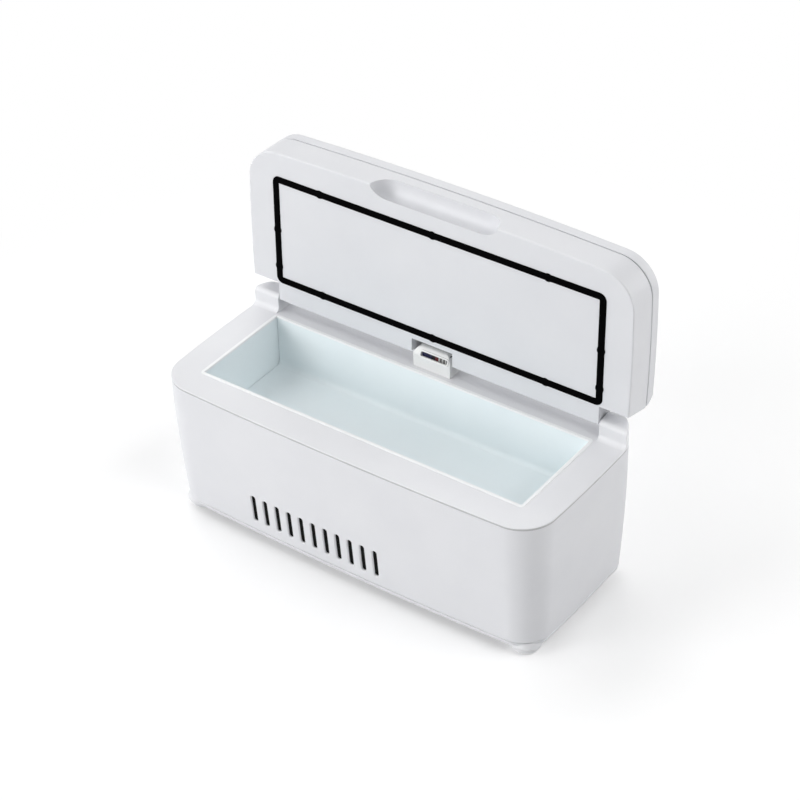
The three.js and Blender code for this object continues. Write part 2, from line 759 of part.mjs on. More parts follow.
// Parts on the board: place and size as shares of its width and front, height in thicknesses of the board
const chipShares = [[-0.17, -0.33, 0.25, 0.25, 1], [0.25, -0.7, 0.2, 0.2, 5], [-0.25, -0.7, 0.17, 0.13, 2]];
const capacitorShares = [[0.25, 0.17, 0.1, 7], [0, 0.33, 0.08, 6]];

function mainBoard() {
  const shape = new THREE.Shape();
  const corners = [[-boardLeft, -boardFront], [-boardRight, -boardFront], [-boardRight, boardArmFront],
    [boardArmEnd, boardArmFront], [boardArmEnd, boardRear], [-boardLeft, boardRear]];
  shape.setFromPoints(corners.map(([x, y]) => new THREE.Vector2(x, y)));
  let board = alongZ(shape, boardBottom, boardTop);
  board = join(board, box(-leadWidth / 2 - leadRadius, leadWidth / 2 + leadRadius, leadY - 2 * leadRadius,
    boardRear - gap, boardTop - sink, connectorTop));
  const middle = -(boardLeft + boardRight) / 2;
  const span = boardLeft - boardRight;
  for (const [acrossShare, alongShare, widthShare, depthShare, rise] of chipShares) {
    const x = middle + acrossShare * span;
    const y = alongShare * boardFront;
    const halfX = widthShare * span / 2;
    const halfY = depthShare * span / 2;
    board = join(board, box(x - halfX, x + halfX, y - halfY, y + halfY, boardTop - sink, boardTop + rise * boardThickness));
  }
  for (const [acrossShare, alongShare, radiusShare, rise] of capacitorShares) {
    board = join(board, post(radiusShare * span, middle + acrossShare * span, alongShare * boardFront,
      boardTop - sink, boardTop + rise * boardThickness, 12));
  }
  return board;
}

function dcJack() {
  const noseEnd = caseDepth / 2 - jackRearInset - jackRecess;
  const low = boardTop + seat;
  const bodyFront = boardRear - jackBody;
  const body = box(jackX - jackWidth / 2, jackX + jackWidth / 2, bodyFront, boardRear - gap, low, low + jackHeight);
  const nose = axleY(jackNose, boardRear - gap - sink, noseEnd, jackX, jackZ, 20);
  const socket = axleY(jackSocket, noseEnd - jackSocketDepth, noseEnd + overrun, jackX, jackZ, 16);
  const pin = axleY(jackPin, noseEnd - jackSocketDepth - sink, noseEnd - jackRecess, jackX, jackZ, 8);
  return join(cut(join(body, nose), socket), pin);
}

// How far the rear wall stands in from the full depth where the supply inlet comes through it
const jackShare = jackX / (caseLength / 2 - shortBow);
const jackRearInset = drawnIn(jackZ) + longBow * jackShare ** 2;

// Section of the leads: where a lead's flat top begins, and how deep the dips between them are
const leadFlatShare = 0.25;
const leadDipShare = 0.4;

// Leads behind the window: side by side, set back under the deck, plugged into the main board
function hingeLeads() {
  const half = leadWidth / 2;
  const pitch = leadWidth / leadCount;
  const section = new THREE.Shape();
  section.moveTo(-half, 0);
  for (let index = 0; index < leadCount; index++) {
    const left = -half + index * pitch;
    section.lineTo(left + pitch * leadFlatShare, -leadRadius);
    section.lineTo(left + pitch * (1 - leadFlatShare), -leadRadius);
    section.lineTo(left + pitch, index + 1 < leadCount ? -leadRadius * leadDipShare : 0);
  }
  for (let index = leadCount - 1; index >= 0; index--) {
    const left = -half + index * pitch;
    section.lineTo(left + pitch * (1 - leadFlatShare), leadRadius);
    section.lineTo(left + pitch * leadFlatShare, leadRadius);
    if (index > 0) section.lineTo(left, leadRadius * leadDipShare);
  }
  section.closePath();
  const frontY = hingeY - leadSetback;
  const top = hingeZ + barrelRadius / 4;
  const route = new THREE.CatmullRomCurve3([
    new THREE.Vector3(0, frontY, top),
    new THREE.Vector3(0, frontY, deckZ + earFoot),
    new THREE.Vector3(0, (frontY + leadY) / 2, deckZ - deckPlate),
    new THREE.Vector3(0, leadY, deckZ - deckPlate - rimDepth),
    new THREE.Vector3(0, leadY, (deckZ + connectorTop) / 2),
    new THREE.Vector3(0, leadY, connectorTop + gap),
  ]);
  return new THREE.ExtrudeGeometry(section, { steps: 11, bevelEnabled: false, extrudePath: route });
}

// Lid, described closed
const tongueX = earInner - tongueGap;
const notchX = bridgeWidth / 2 + notchGap;
const notchFront = hingeY - notchDepth;
const notchTop = hingeZ + notchCeiling;

// Everything behind a rear face that leans, with a round to the top, between two places along X
function behind(x0, x1, setback, slant) {
  const low = hingeY - setback;
  const high = low + slant;
  const far = caseDepth / 2 + overrun;
  const shape = new THREE.Shape();
  shape.moveTo(low, lidBottom - overrun);
  shape.lineTo(low, lidBottom);
  shape.lineTo(high, lidTop - lidRearRound);
  shape.absarc(high - lidRearRound, lidTop - lidRearRound, lidRearRound, 0, Math.PI / 2, false);
  shape.lineTo(high - lidRearRound, lidTop + overrun);
  shape.lineTo(far, lidTop + overrun);
  shape.lineTo(far, lidBottom - overrun);
  shape.closePath();
  return alongX(shape, x0, x1, 3);
}

function trimRear(shape) {
  const end = caseLength / 2 + overrun;
  return cut(shape, behind(-end, -tongueX, cornerSetback, cornerSlant), behind(tongueX, end, cornerSetback, cornerSlant),
    behind(-tongueX - sink, tongueX + sink, tongueSetback, tongueSlant),
    box(-notchX, notchX, notchFront, caseDepth / 2 + overrun, lidBottom - overrun, notchTop));
}

// A trough with round ends about the lid's lower front edge
function scoop(grow) {
  const reach = scoopLength / 2 - scoopEnd;
  const quarterShares = [0, 0.25, 0.5, 0.75, 1];
  const profile = quarterShares.map((share) => [Math.sin(share * Math.PI / 2), Math.cos(share * Math.PI / 2)]);
  const points = [
    ...profile.map(([radius, along]) => new THREE.Vector2(radius, -reach - (scoopEnd + grow) * along)),
    ...profile.toReversed().map(([radius, along]) => new THREE.Vector2(radius, reach + (scoopEnd + grow) * along)),
  ];
  const trough = new THREE.LatheGeometry(points, 20).rotateZ(-Math.PI / 2);
  return trough.scale(1, scoopDepth + grow, scoopHeight + grow).translate(0, -caseDepth / 2, lidBottom);
}

const gasketPlan = {
  ...block(gasketLength, gasketWidth, gasketCorner, 0, gasketShift), corner: 4,
};
const bumpsX = [-0.35, 0, 0.34].map((share) => share * gasketLength);
const bumpsY = [-0.02, 0.32].map((share) => share * gasketWidth);
const gasketSoftShare = 0.7; // soft edge, as a share of what stands proud

function gasketBumps(extra, low, high) {
  const edgeX = gasketLength / 2 - gasketCord / 2;
  const edgeY = gasketWidth / 2 - gasketCord / 2;
  const long = gasketCord / 2 + bumpProud + extra;
  const places = [
    ...bumpsX.flatMap((x) => [[x, gasketShift - edgeY, bumpRadius, long], [x, gasketShift + edgeY, bumpRadius, long]]),
    ...bumpsY.flatMap((y) => [[-edgeX, y + gasketShift, long, bumpRadius], [edgeX, y + gasketShift, long, bumpRadius]]),
  ];
  return places.map(([x, y, halfX, halfY]) => {
    const bump = { ...block(2 * halfX, 2 * halfY, bumpRadius / 2, x, y), corner: 1 };
    return slab(bump, 0, low, high);
  });
}

function lidShell() {
  const shellTop = lidSeam - gap / 2;
  const skin = loft([
    level(outer, lidEdgeRound, lidBottom),
    level(outer, lidEdgeRound * edgeShare, lidBottom + lidEdgeRound * edgeShare),
    level(outer, 0, lidBottom + lidEdgeRound),
    level(outer, 0, shellTop),
  ]);
  const floor = lidBottom + lidWall;
  const rearLimit = hingeY - cornerSetback - lidWall;
  const widest = caseLength / 2;
  const hollow = common(slab(outer, lidWall, floor, shellTop + overrun),
    box(-widest, widest, -caseDepth / 2, rearLimit, floor, shellTop + overrun));
  const wellRear = hingeY - tongueSetback + tongueSlant - lidWall;
  const wells = bothSides.map(([side]) => {
    const near = side * (notchX + lidWall);
    const far = side * (tongueX - lidWall);
    return box(Math.min(near, far), Math.max(near, far), rearLimit - sink, wellRear, floor, shellTop + overrun);
  });
  let shell = cut(trimRear(skin), hollow, ...wells);
  const pod = common(scoop(lidWall), slab(outer, lidWall / 2, lidBottom + lidWall / 2, shellTop));
  shell = cut(join(shell, pod), scoop(0));
  for (const [side] of bothSides) {
    const outerEnd = side * tongueX;
    const innerEnd = side * (tongueX - knuckleWidth);
    const bridgeEnd = side * notchX;
    const bridgeFar = side * (notchX + knuckleWidth);
    const knuckles = [[outerEnd, innerEnd], [bridgeEnd, bridgeFar]];
    for (const [a, b] of knuckles) {
      shell = join(shell, axleX(knuckleRadius, Math.min(a, b), Math.max(a, b), hingeY, hingeZ, 20));
    }
    shell = cut(shell, axleX(pinRadius + gap, Math.min(outerEnd, innerEnd) - overrun,
      Math.max(outerEnd, innerEnd) + overrun, hingeY, hingeZ));
  }
  const bore = bundleRadius + gap;
  shell = cut(shell, axleX(bore, notchX - overrun, bundleReach + bore, hingeY, hingeZ, 14),
    axleY(bore, wellRear - overrun, hingeY, bundleReach, hingeZ, 14));
  const groove = cut(slab(gasketPlan, -gap / 2, lidBottom - overrun, lidBottom + gasketGroove),
    slab(gasketPlan, gasketCord + gap / 2, lidBottom - 2 * overrun, lidBottom + 2 * overrun));
  return cut(shell, join(groove, ...gasketBumps(gap / 2, lidBottom - overrun, lidBottom + gasketGroove)));
}

function lidGasket() {
  const low = lidBottom - gasketProud;
  const high = lidBottom + gasketGroove - gap / 2;
  const soft = gasketProud * gasketSoftShare;
  const cord = cut(loft([level(gasketPlan, soft, low), level(gasketPlan, 0, low + soft), level(gasketPlan, 0, high)]),
    loft([
      level(gasketPlan, gasketCord - 2 * soft, low - soft),
      level(gasketPlan, gasketCord, low + soft),
      level(gasketPlan, gasketCord, high + overrun),
    ]));
  return join(cord, ...gasketBumps(0, low + soft, high));
}

// Outer panel of the lid, with the display pocket, key holes and the posts that hold the display board
const coverInner = lidTop - lidWall;
const displayBoardTop = coverInner - displayBoardDrop;
const keyX = (index) => (index - (keyCount - 1) / 2) * keyPitch;

function lidCover() {
  const roundShares = [0, 1 / 3, 2 / 3, 1];
  const low = lidSeam + gap / 2;
  const skin = loft([
    level(outer, 0, low),
    ...roundShares.map((share) => {
      const angle = share * Math.PI / 2;
      return level(outer, lidCoverRound * (1 - Math.cos(angle)), lidTop - lidCoverRound * (1 - Math.sin(angle)));
    }),
  ]);
  const rearLimit = hingeY - cornerSetback - lidWall;
  const widest = caseLength / 2;
  const hollow = common(loft([
    level(outer, lidWall, low - overrun),
    level(outer, lidWall, lidTop - lidCoverRound),
    level(outer, lidCoverRound / 2 + lidWall, coverInner),
  ]), box(-widest, widest, -caseDepth / 2, rearLimit, low - overrun, coverInner));
  let cover = cut(trimRear(skin), hollow);
  const pocket = block(lensLength + 2 * gap, lensWidth + 2 * gap, lensLedge, 0, lensY);
  const opening = block(lensLength - 2 * lensLedge, lensWidth - 2 * lensLedge, lensLedge / 2, 0, lensY);
  cover = cut(cover, slab(pocket, 0, lidTop - lensThickness - seat, lidTop + overrun),
    slab(opening, 0, coverInner - overrun, lidTop + overrun));
  for (let index = 0; index < keyCount; index++) {
    const hole = slot(keyX(index), keyY, keyLength + 2 * gap, keyWidth + 2 * gap);
    cover = cut(cover, alongZ(hole, coverInner - overrun, lidTop + overrun));
  }
  for (const [sideX, sideY] of fourCorners) {
    const x = sideX * (displayBoardLength / 2 - 2 * displayPost);
    const y = displayBoardY + sideY * (displayBoardWidth / 2 - displayPost);
    cover = join(cover, post(displayPost, x, y, displayBoardTop + gap, coverInner + sink, 10));
  }
  return cover;
}

function displayBoard() {
  const halfX = displayBoardLength / 2;
  const halfY = displayBoardWidth / 2;
  return box(-halfX, halfX, displayBoardY - halfY, displayBoardY + halfY, displayBoardTop - boardThickness,
    displayBoardTop);
}

function key(index) {
  const cap = alongZ(slot(keyX(index), keyY, keyLength, keyWidth), coverInner - gap - keyFlange, lidTop + keyProud);
  const flange = alongZ(slot(keyX(index), keyY, keyLength + 4 * gap + keyFlange, keyWidth + 4 * gap + keyFlange),
    coverInner - gap - keyFlange, coverInner - gap);
  return join(cap, flange);
}

const plungerShare = 0.55;

function keySwitch(index) {
  const half = switchSize / 2;
  const bodyTop = displayBoardTop + switchSize / 2;
  const plungerTop = coverInner - gap - keyFlange - keyTravel - gap / 2;
  const body = box(keyX(index) - half, keyX(index) + half, keyY - half, keyY + half, displayBoardTop + seat, bodyTop);
  return join(body, post(half * plungerShare, keyX(index), keyY, bodyTop - sink, plungerTop, 10));
}

function lidLeads() {
  const start = -bridgeWidth / 8;
  const inside = hingeY - notchDepth - lidWall;
  const route = new THREE.CatmullRomCurve3([
    new THREE.Vector3(start, hingeY, hingeZ),
    new THREE.Vector3(bundleReach - 2 * bundleRadius, hingeY, hingeZ),
    new THREE.Vector3(bundleReach - bundleRadius / 3, hingeY - bundleRadius / 3, hingeZ),
    new THREE.Vector3(bundleReach, hingeY - 2 * bundleRadius, hingeZ),
    new THREE.Vector3(bundleReach, inside, hingeZ),
  ]);
  const section = new THREE.Shape().absarc(0, 0, bundleRadius, 0, Math.PI * 2);
  return new THREE.ExtrudeGeometry(section, { steps: 12, bevelEnabled: false, curveSegments: 4, extrudePath: route });
}

// Assembly: case
piece('lower_case', lowerCase(), white);
piece('bottom_cover', bottomCover(), white);
piece('top_deck', topDeck(), white);
piece('wire_bridge', wireBridge(), trim);
piece('inner_tray', innerTray(), liner);
piece('insulation_block', insulationBlock(), foam);
piece('hinge_leads', hingeLeads(), leadBlue);
piece('main_board', mainBoard(), boardGreen);
piece('dc_jack', dcJack(), black);
piece('battery_holder', batteryHolder(), black);
for (let index = 0; index < cellCount; index++) {
  piece(`battery_cell_${index + 1}`, batteryCell(index), cellWrap);
}

// Assembly: cooling stack
piece('cold_plate', box(stackX - coldLength / 2, stackX + coldLength / 2, -coldWidth / 2, coldWidth / 2,
  coldBottom, coldTop), bareMetal);
piece('temperature_sensor', axleY(sensorRadius, -sensorLength / 2, sensorLength / 2,
  stackX + coldLength / 2 + gap + sensorRadius, (coldTop + coldBottom) / 2, 10), steel);
piece('peltier_module', box(stackX - peltierSize / 2, stackX + peltierSize / 2, -peltierSize / 2, peltierSize / 2,
  peltierBottom, coldBottom - gap), ceramic);
piece('heat_sink', heatSink(), bareMetal);
piece('fan_frame', fanFrame(), black);
piece('fan_rotor', fanRotor(), black);
for (const [sideX, sideY, place] of fourCorners) {
  const screwHeight = fanHeight + finHeight / 2;
  piece(`fan_screw_${place}`, screw(stackX + sideX * fanScrewReach, sideY * fanScrewReach, fanBottom - seat,
    fanScrewHead, fanScrewRadius, fanScrewRadius, screwHeight), steel);
}

// Assembly: screws, feet, magnets and pins of the case
for (const [sideX, sideY, place] of fourCorners) {
  piece(`bottom_screw_${place}`, screw(sideX * screwX, sideY * screwY, edgeZ + screwHeadHeight + seat, screwHead,
    screwHeadHeight, screwShank, screwLength), steel);
}
const footShares = [[0, 0], [0.55, 0], [0.82, 0.18], [0.97, 0.52], [1, 0.8], [1, 1]];
for (const [sideX, sideY, place] of fourCorners) {
  const topOfFoot = edgeZ - seat;
  const pad = footShares.map(([across, up]) => [across * footRadius, up * topOfFoot]);
  const profile = [...pad, [footPeg, topOfFoot], [footPeg, topOfFoot + footPegLength],
    [0, topOfFoot + footPegLength]];
  const points = profile.map(([radius, height]) => new THREE.Vector2(radius, height));
  const foot = new THREE.LatheGeometry(points, 16).rotateX(Math.PI / 2);
  piece(`foot_${place}`, foot.translate(sideX * footX, sideY * footY, 0), rubber);
}
for (const [side, place] of bothSides) {
  piece(`deck_magnet_${place}`, post(magnetRadius, side * magnetX, -magnetY, foamTop - magnetHeight, foamTop, 14), steel);
  const pinStart = side * (tongueX - knuckleWidth);
  const pinEnd = side * (tongueX - knuckleWidth + pinLength);
  piece(`hinge_pin_${place}`, axleX(pinRadius, Math.min(pinStart, pinEnd), Math.max(pinStart, pinEnd), hingeY, hingeZ),
    steel);
}

// Assembly: lid
piece('lid_shell', lidShell(), white, lid);
piece('lid_cover', lidCover(), white, lid);
piece('lid_gasket', lidGasket(), sealRubber, lid);
const lidFoamPlan = block(2 * lidFoamEnd, lidFoamFront + lidFoamRear, gasketCorner, 0, (lidFoamRear - lidFoamFront) / 2);
const lidFoamBottom = lidBottom + lidWall + gap;
piece('lid_insulation', slab(lidFoamPlan, 0, lidFoamBottom, lidFoamBottom + lidFoamHeight), foam, lid);
piece('display_board', displayBoard(), boardGreen, lid);
piece('display_panel', box(-panelLength / 2, panelLength / 2, lensY - panelWidth / 2, lensY + panelWidth / 2,
  displayBoardTop + gap, coverInner - gap), black, lid);
const lensPlan = block(lensLength, lensWidth, lensLedge, 0, lensY);
piece('display_window', slab(lensPlan, 0, lidTop - lensThickness, lidTop), lensBlack, lid);
['down', 'power', 'up'].forEach((use, index) => {
  piece(`key_${use}`, key(index), trim, lid);
  piece(`key_switch_${use}`, keySwitch(index), black, lid);
});
piece('lid_leads', lidLeads(), leadBlue, lid);
for (const [side, place] of bothSides) {
  piece(`lid_magnet_${place}`, post(magnetRadius, side * magnetX, -magnetY, lidFoamBottom,
    lidFoamBottom + magnetHeight, 14), steel, lid);
}

// The reference point is on the surface that the feet stand on, under the middle of the open case
product.updateMatrixWorld(true);
const extent = new THREE.Box3().setFromObject(product, true);
product.position.set(-(extent.min.x + extent.max.x) / 2, -(extent.min.y + extent.max.y) / 2, 0);

export default product;
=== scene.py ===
# %% [markdown]
# # An insulin cooling case, dressed for the camera
# The case is a bench-top box with a lined compartment, a thick lid on two rear pins, a cooling stack with a fan
# behind the front vents, and a small housing in the hinge line that carries the leads to the lid.
# The solids are already there as a fixed frame. This lesson gives each visible one a finer shape and a finish.
# The frame is loaded first, because every piece is placed by it.

# %% Load the frame
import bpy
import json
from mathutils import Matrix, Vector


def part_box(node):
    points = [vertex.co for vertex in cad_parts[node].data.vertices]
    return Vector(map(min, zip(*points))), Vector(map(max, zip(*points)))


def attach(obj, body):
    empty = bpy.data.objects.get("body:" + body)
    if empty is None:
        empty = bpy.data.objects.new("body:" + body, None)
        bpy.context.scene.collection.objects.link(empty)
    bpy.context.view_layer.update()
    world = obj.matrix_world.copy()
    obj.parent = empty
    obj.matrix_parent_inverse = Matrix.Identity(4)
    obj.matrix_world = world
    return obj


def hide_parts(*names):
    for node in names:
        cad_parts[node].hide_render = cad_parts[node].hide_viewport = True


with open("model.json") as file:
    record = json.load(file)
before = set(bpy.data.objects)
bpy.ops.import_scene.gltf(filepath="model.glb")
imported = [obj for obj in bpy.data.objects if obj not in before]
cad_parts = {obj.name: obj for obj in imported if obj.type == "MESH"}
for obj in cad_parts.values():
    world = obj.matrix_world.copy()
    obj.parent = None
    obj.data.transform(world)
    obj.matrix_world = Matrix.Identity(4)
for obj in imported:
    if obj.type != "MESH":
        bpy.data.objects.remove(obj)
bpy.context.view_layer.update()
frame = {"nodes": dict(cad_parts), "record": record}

import json
import math

import bmesh
import bpy
from mathutils import Euler, Matrix, Vector, geometry

scene = bpy.context.scene
scene.view_settings.view_transform = "Standard"

# %% [markdown]
# ## Camera
# The picture was taken from the right and from above with a long lens, so the box shows its front, its right end
# and the inside of the lid with little perspective. A place, three angles and a focal length say all of that. They
# come from fitting a box of this size to the corners in the picture, which is surer than setting them by eye.

# %% Camera
camera_data = bpy.data.cameras.new("camera")
camera_data.sensor_width = 36
camera_data.lens = 109.4
camera_data.clip_end = 20
camera = bpy.data.objects.new("camera", camera_data)
camera.location = (0.61499, -0.80324, 0.83799)
camera.rotation_euler = Euler([math.radians(angle) for angle in (53.3678, 1.9589, 35.9982)])
scene.collection.objects.link(camera)
scene.camera = camera
print("camera at", [round(v, 3) for v in camera.location])

# %% [markdown]
# ## Floor
# A plain white floor keeps the soft shadow round the feet. The camera sees it in a paler white than the one that
# sends light back to the case, so it comes out white without more light on the case. Glossy and clear surfaces see
# the same white. Away from the case it fades to the white of the backdrop, so no edge of the floor shows.

# %% Floor
def new_finish(name):
    """A material, its node tree and its output node."""
    finish = bpy.data.materials.new(name + "_finish")
    finish.use_nodes = True
    finish.node_tree.nodes.clear()
    return finish, finish.node_tree, finish.node_tree.nodes.new("ShaderNodeOutputMaterial")


def step(tree, kind, inputs=None, **settings):
    """Adds a node, sets its options, and links or sets its inputs by name or number."""
    node = tree.nodes.new(kind)
    for key, value in settings.items():
        setattr(node, key, value)
    for key, value in (inputs or {}).items():
        if isinstance(value, bpy.types.NodeSocket):
            tree.links.new(value, node.inputs[key])
        else:
            node.inputs[key].default_value = value
    return node


def noise(tree, place, scale, detail, **more):
    return step(tree, "ShaderNodeTexNoise", {"Vector": place, "Scale": scale, "Detail": detail, **more}).outputs["Fac"]


def ramp(tree, factor, *stops):
    """The colour of a ramp through (place, colour) stops."""
    node = step(tree, "ShaderNodeValToRGB", {"Fac": factor})
    while len(node.color_ramp.elements) < len(stops):
        node.color_ramp.elements.new(0.5)
    for element, (position, colour) in zip(node.color_ramp.elements, stops):
        element.position = position
        element.color = (*colour, 1)
    return node.outputs["Color"]


def seen_directly(tree):
    """1 where the camera, a reflection or clear material looks, 0 for light that falls on surfaces."""
    rays = step(tree, "ShaderNodeLightPath").outputs
    glossy = step(tree, "ShaderNodeMath", {0: rays["Is Camera Ray"], 1: rays["Is Glossy Ray"]}, operation="MAXIMUM")
    clear = step(tree, "ShaderNodeMath", {0: glossy.outputs[0], 1: rays["Is Transmission Ray"]}, operation="MAXIMUM")
    return clear.outputs[0]


white = (1, 1, 1, 1)
floor_reach = 4.0  # metres, as are the next two
fade_start, fade_end = 0.15, 0.4
floor_glow = 0.13

floor_finish, tree, output = new_finish("floor_white")
place = step(tree, "ShaderNodeTexCoord").outputs["Object"]
tone = ramp(tree, noise(tree, place, 6.0, 3.0), (0.0, (0.84, 0.84, 0.842)), (1.0, (0.86, 0.86, 0.861)))
matte = step(tree, "ShaderNodeBsdfDiffuse", {"Color": tone})
paler = step(tree, "ShaderNodeBsdfDiffuse", {"Color": white})
own_light = step(tree, "ShaderNodeEmission", {"Color": white, "Strength": floor_glow})
pale_floor = step(tree, "ShaderNodeAddShader", {0: paler.outputs[0], 1: own_light.outputs[0]})
away = step(tree, "ShaderNodeVectorMath", {0: place}, operation="LENGTH")
faded = step(tree, "ShaderNodeMapRange", {"Value": away.outputs["Value"], "From Min": fade_start,
                                          "From Max": fade_end}, interpolation_type="SMOOTHSTEP")
backdrop = step(tree, "ShaderNodeEmission", {"Color": white, "Strength": 1.0})
ground = step(tree, "ShaderNodeMixShader", {0: faded.outputs[0], 1: pale_floor.outputs[0], 2: backdrop.outputs[0]})
both = step(tree, "ShaderNodeMixShader", {0: seen_directly(tree), 1: matte.outputs[0], 2: ground.outputs[0]})
tree.links.new(both.outputs[0], output.inputs["Surface"])

floor_mesh = bpy.data.meshes.new("floor")
floor_corners = [(x * floor_reach, y * floor_reach, 0) for x, y in ((-1, -1), (1, -1), (1, 1), (-1, 1))]
floor_mesh.from_pydata(floor_corners, [], [(0, 1, 2, 3)])
floor = bpy.data.objects.new("floor", floor_mesh)
floor.data.materials.append(floor_finish)
scene.collection.objects.link(floor)
print("floor", 2 * floor_reach, "m across")

# %% [markdown]
# ## Light
# The picture has the even light of a white tent: the front, the deck and the inside of the lid are about as bright,
# the right end is darker, and the round between front and end is the darkest. So the light comes from both sides of
# that round: most from the front and left, the rest from the right and behind. Seven large lamps round the case do
# it, and their powers come from a fit: one small render with each lamp alone, then the mix that gives the tones.

# %% Light
sky_strength = 0.087
lamp_side, lamp_distance = 1.5, 2.6
aim = Vector((0, 0, 0.08))

world = bpy.data.worlds.new("tent")
world.use_nodes = True
tree = world.node_tree
tree.nodes.clear()
up = step(tree, "ShaderNodeSeparateXYZ", {0: step(tree, "ShaderNodeTexCoord").outputs["Generated"]}).outputs["Z"]
dome = step(tree, "ShaderNodeMapRange", {"Value": up, "To Max": sky_strength})
lit = step(tree, "ShaderNodeBackground", {"Color": (0.985, 0.99, 1.0, 1), "Strength": dome.outputs[0]})
backdrop = step(tree, "ShaderNodeBackground", {"Color": white, "Strength": 1.0})
mixed = step(tree, "ShaderNodeMixShader", {0: seen_directly(tree), 1: lit.outputs[0], 2: backdrop.outputs[0]})
step(tree, "ShaderNodeOutputWorld", {"Surface": mixed.outputs[0]})
scene.world = world

# azimuth from the front, to the right, and height in degrees, and power in watts
lamps = [(-35, 18, 37.8), (0, 18, 9.8), (-80, 50, 15.4), (90, 50, 22.3), (135, 18, 21.9), (180, 18, 6.0),
         (-135, 50, 17.2)]
for azimuth, height, power in lamps:
    a, e = math.radians(azimuth), math.radians(height)
    lamp = bpy.data.lights.new("tent_lamp", "AREA")
    lamp.shape = "RECTANGLE"
    lamp.size = lamp.size_y = lamp_side
    lamp.energy = power
    holder = bpy.data.objects.new("tent_lamp", lamp)
    away = Vector((math.cos(e) * math.sin(a), -math.cos(e) * math.cos(a), math.sin(e)))
    holder.location = away * lamp_distance + aim
    holder.rotation_euler = (aim - holder.location).to_track_quat("-Z", "Y").to_euler()
    scene.collection.objects.link(holder)
print("lamps:", len(lamps))

# %% [markdown]
# ## Moulded plastic
# Nearly all that shows is injection-moulded plastic. Such a surface has a fine grain from the mould, a slight
# unevenness of gloss, and hardly any change of tone. Noise at three scales on Object coordinates makes these: the
# finest drives a bump, the middle one the roughness, and the widest a small shift of colour. A bevel in the shading
# softens the sharp edges, as a mould does. The roughness stays above 0.3, because glossier spots in pale plastic
# come out as dark flecks once the picture's grain is smoothed away.

# %% Moulded plastic
mould_edge = 0.0002  # metres, as is the next one
light_depth = (0.002, 0.002, 0.002)


def uneven(tree, place, middle, spread, scale, detail):
    """A value that wanders about a middle one."""
    return step(tree, "ShaderNodeMapRange", {
        "Value": noise(tree, place, scale, detail), "From Min": 0.2, "From Max": 0.8,
        "To Min": middle - spread, "To Max": middle + spread}).outputs[0]


def moulded(name, dark, light, rough, grain_mm=0.35, depth_mm=0.012, specular=0.5, subsurface=0.0):
    """Plastic or rubber: two tones, a middle roughness, and the size and depth of its grain."""
    finish, tree, output = new_finish(name)
    place = step(tree, "ShaderNodeTexCoord").outputs["Object"]
    tone = ramp(tree, noise(tree, place, 28.0, 4.0, Roughness=0.55), (0.25, dark), (0.75, light))
    soft_edge = step(tree, "ShaderNodeBevel", {"Radius": mould_edge}, samples=4)
    grain = step(tree, "ShaderNodeBump", {
        "Height": noise(tree, place, 1000.0 / grain_mm, 2.0), "Distance": depth_mm / 1000, "Strength": 0.6,
        "Normal": soft_edge.outputs[0]})
    shader = step(tree, "ShaderNodeBsdfPrincipled", {
        "Base Color": tone, "Roughness": uneven(tree, place, rough, 0.05, 240.0, 3.0), "Normal": grain.outputs[0],
        "Specular IOR Level": specular, "Subsurface Weight": subsurface, "Subsurface Radius": light_depth})
    tree.links.new(shader.outputs[0], output.inputs["Surface"])
    return finish


case_white = moulded("case_white", (0.735, 0.742, 0.77), (0.77, 0.776, 0.80), 0.42)
bridge_white = moulded("bridge_white", (0.81, 0.812, 0.81), (0.85, 0.85, 0.845), 0.36)
# deck_painted_light is the case's plastic made lighter: painted light on the upward faces of the deck and its ears,
# which the lid shades
deck_painted_light = moulded("deck_painted_light", (0.785, 0.79, 0.815), (0.82, 0.826, 0.845), 0.42)
key_white = moulded("key_white", (0.80, 0.81, 0.82), (0.85, 0.86, 0.87), 0.36, grain_mm=0.2)
tray_liner = moulded("tray_liner", (0.855, 0.92, 0.94), (0.885, 0.945, 0.96), 0.4, depth_mm=0.004)
# the mouth rim: a whiter copy of the liner's plastic, as a painted highlight along the mouth's edge
rim_painted_highlight = moulded("rim_painted_highlight", (0.92, 0.93, 0.94), (0.94, 0.95, 0.955), 0.38, grain_mm=0.3)
foot_rubber = moulded("foot_rubber", (0.76, 0.765, 0.785), (0.79, 0.795, 0.81), 0.5, grain_mm=0.15, depth_mm=0.02,
                      subsurface=0.15)
gasket_rubber = moulded("gasket_rubber", (0.0004, 0.0004, 0.0005), (0.0012, 0.0012, 0.0014), 0.8, grain_mm=0.12,
                        depth_mm=0.02, specular=0.02)
black_plastic = moulded("black_plastic", (0.012, 0.012, 0.013), (0.022, 0.022, 0.024), 0.5)
print("plastics:", [m.name for m in bpy.data.materials if m.use_nodes])

# %% [markdown]
# ## Other finishes
# The hidden pieces have their own looks too: foam with beads, a circuit board with traces, shrink wrap on the cells,
# brushed aluminium, machined steel and a chalky ceramic. Each is a short tree that starts from the same coordinates.

# %% Foam, ceramic and board
def finish_from(name, colour_of, rough, metal=0.0, bump=None, bump_mm=0.05, coat=0.0):
    """A finish whose colour, and bump if any, come from small functions of the tree and its coordinates."""
    finish, tree, output = new_finish(name)
    place = step(tree, "ShaderNodeTexCoord").outputs["Object"]
    shader = step(tree, "ShaderNodeBsdfPrincipled", {
        "Base Color": colour_of(tree, place), "Roughness": uneven(tree, place, rough, 0.06, 300.0, 2.0),
        "Metallic": metal, "Coat Weight": coat})
    if bump:
        relief = step(tree, "ShaderNodeBump", {"Height": bump(tree, place), "Distance": bump_mm / 1000,
                                               "Strength": 0.7})
        tree.links.new(relief.outputs[0], shader.inputs["Normal"])
    tree.links.new(shader.outputs[0], output.inputs["Surface"])
    return finish


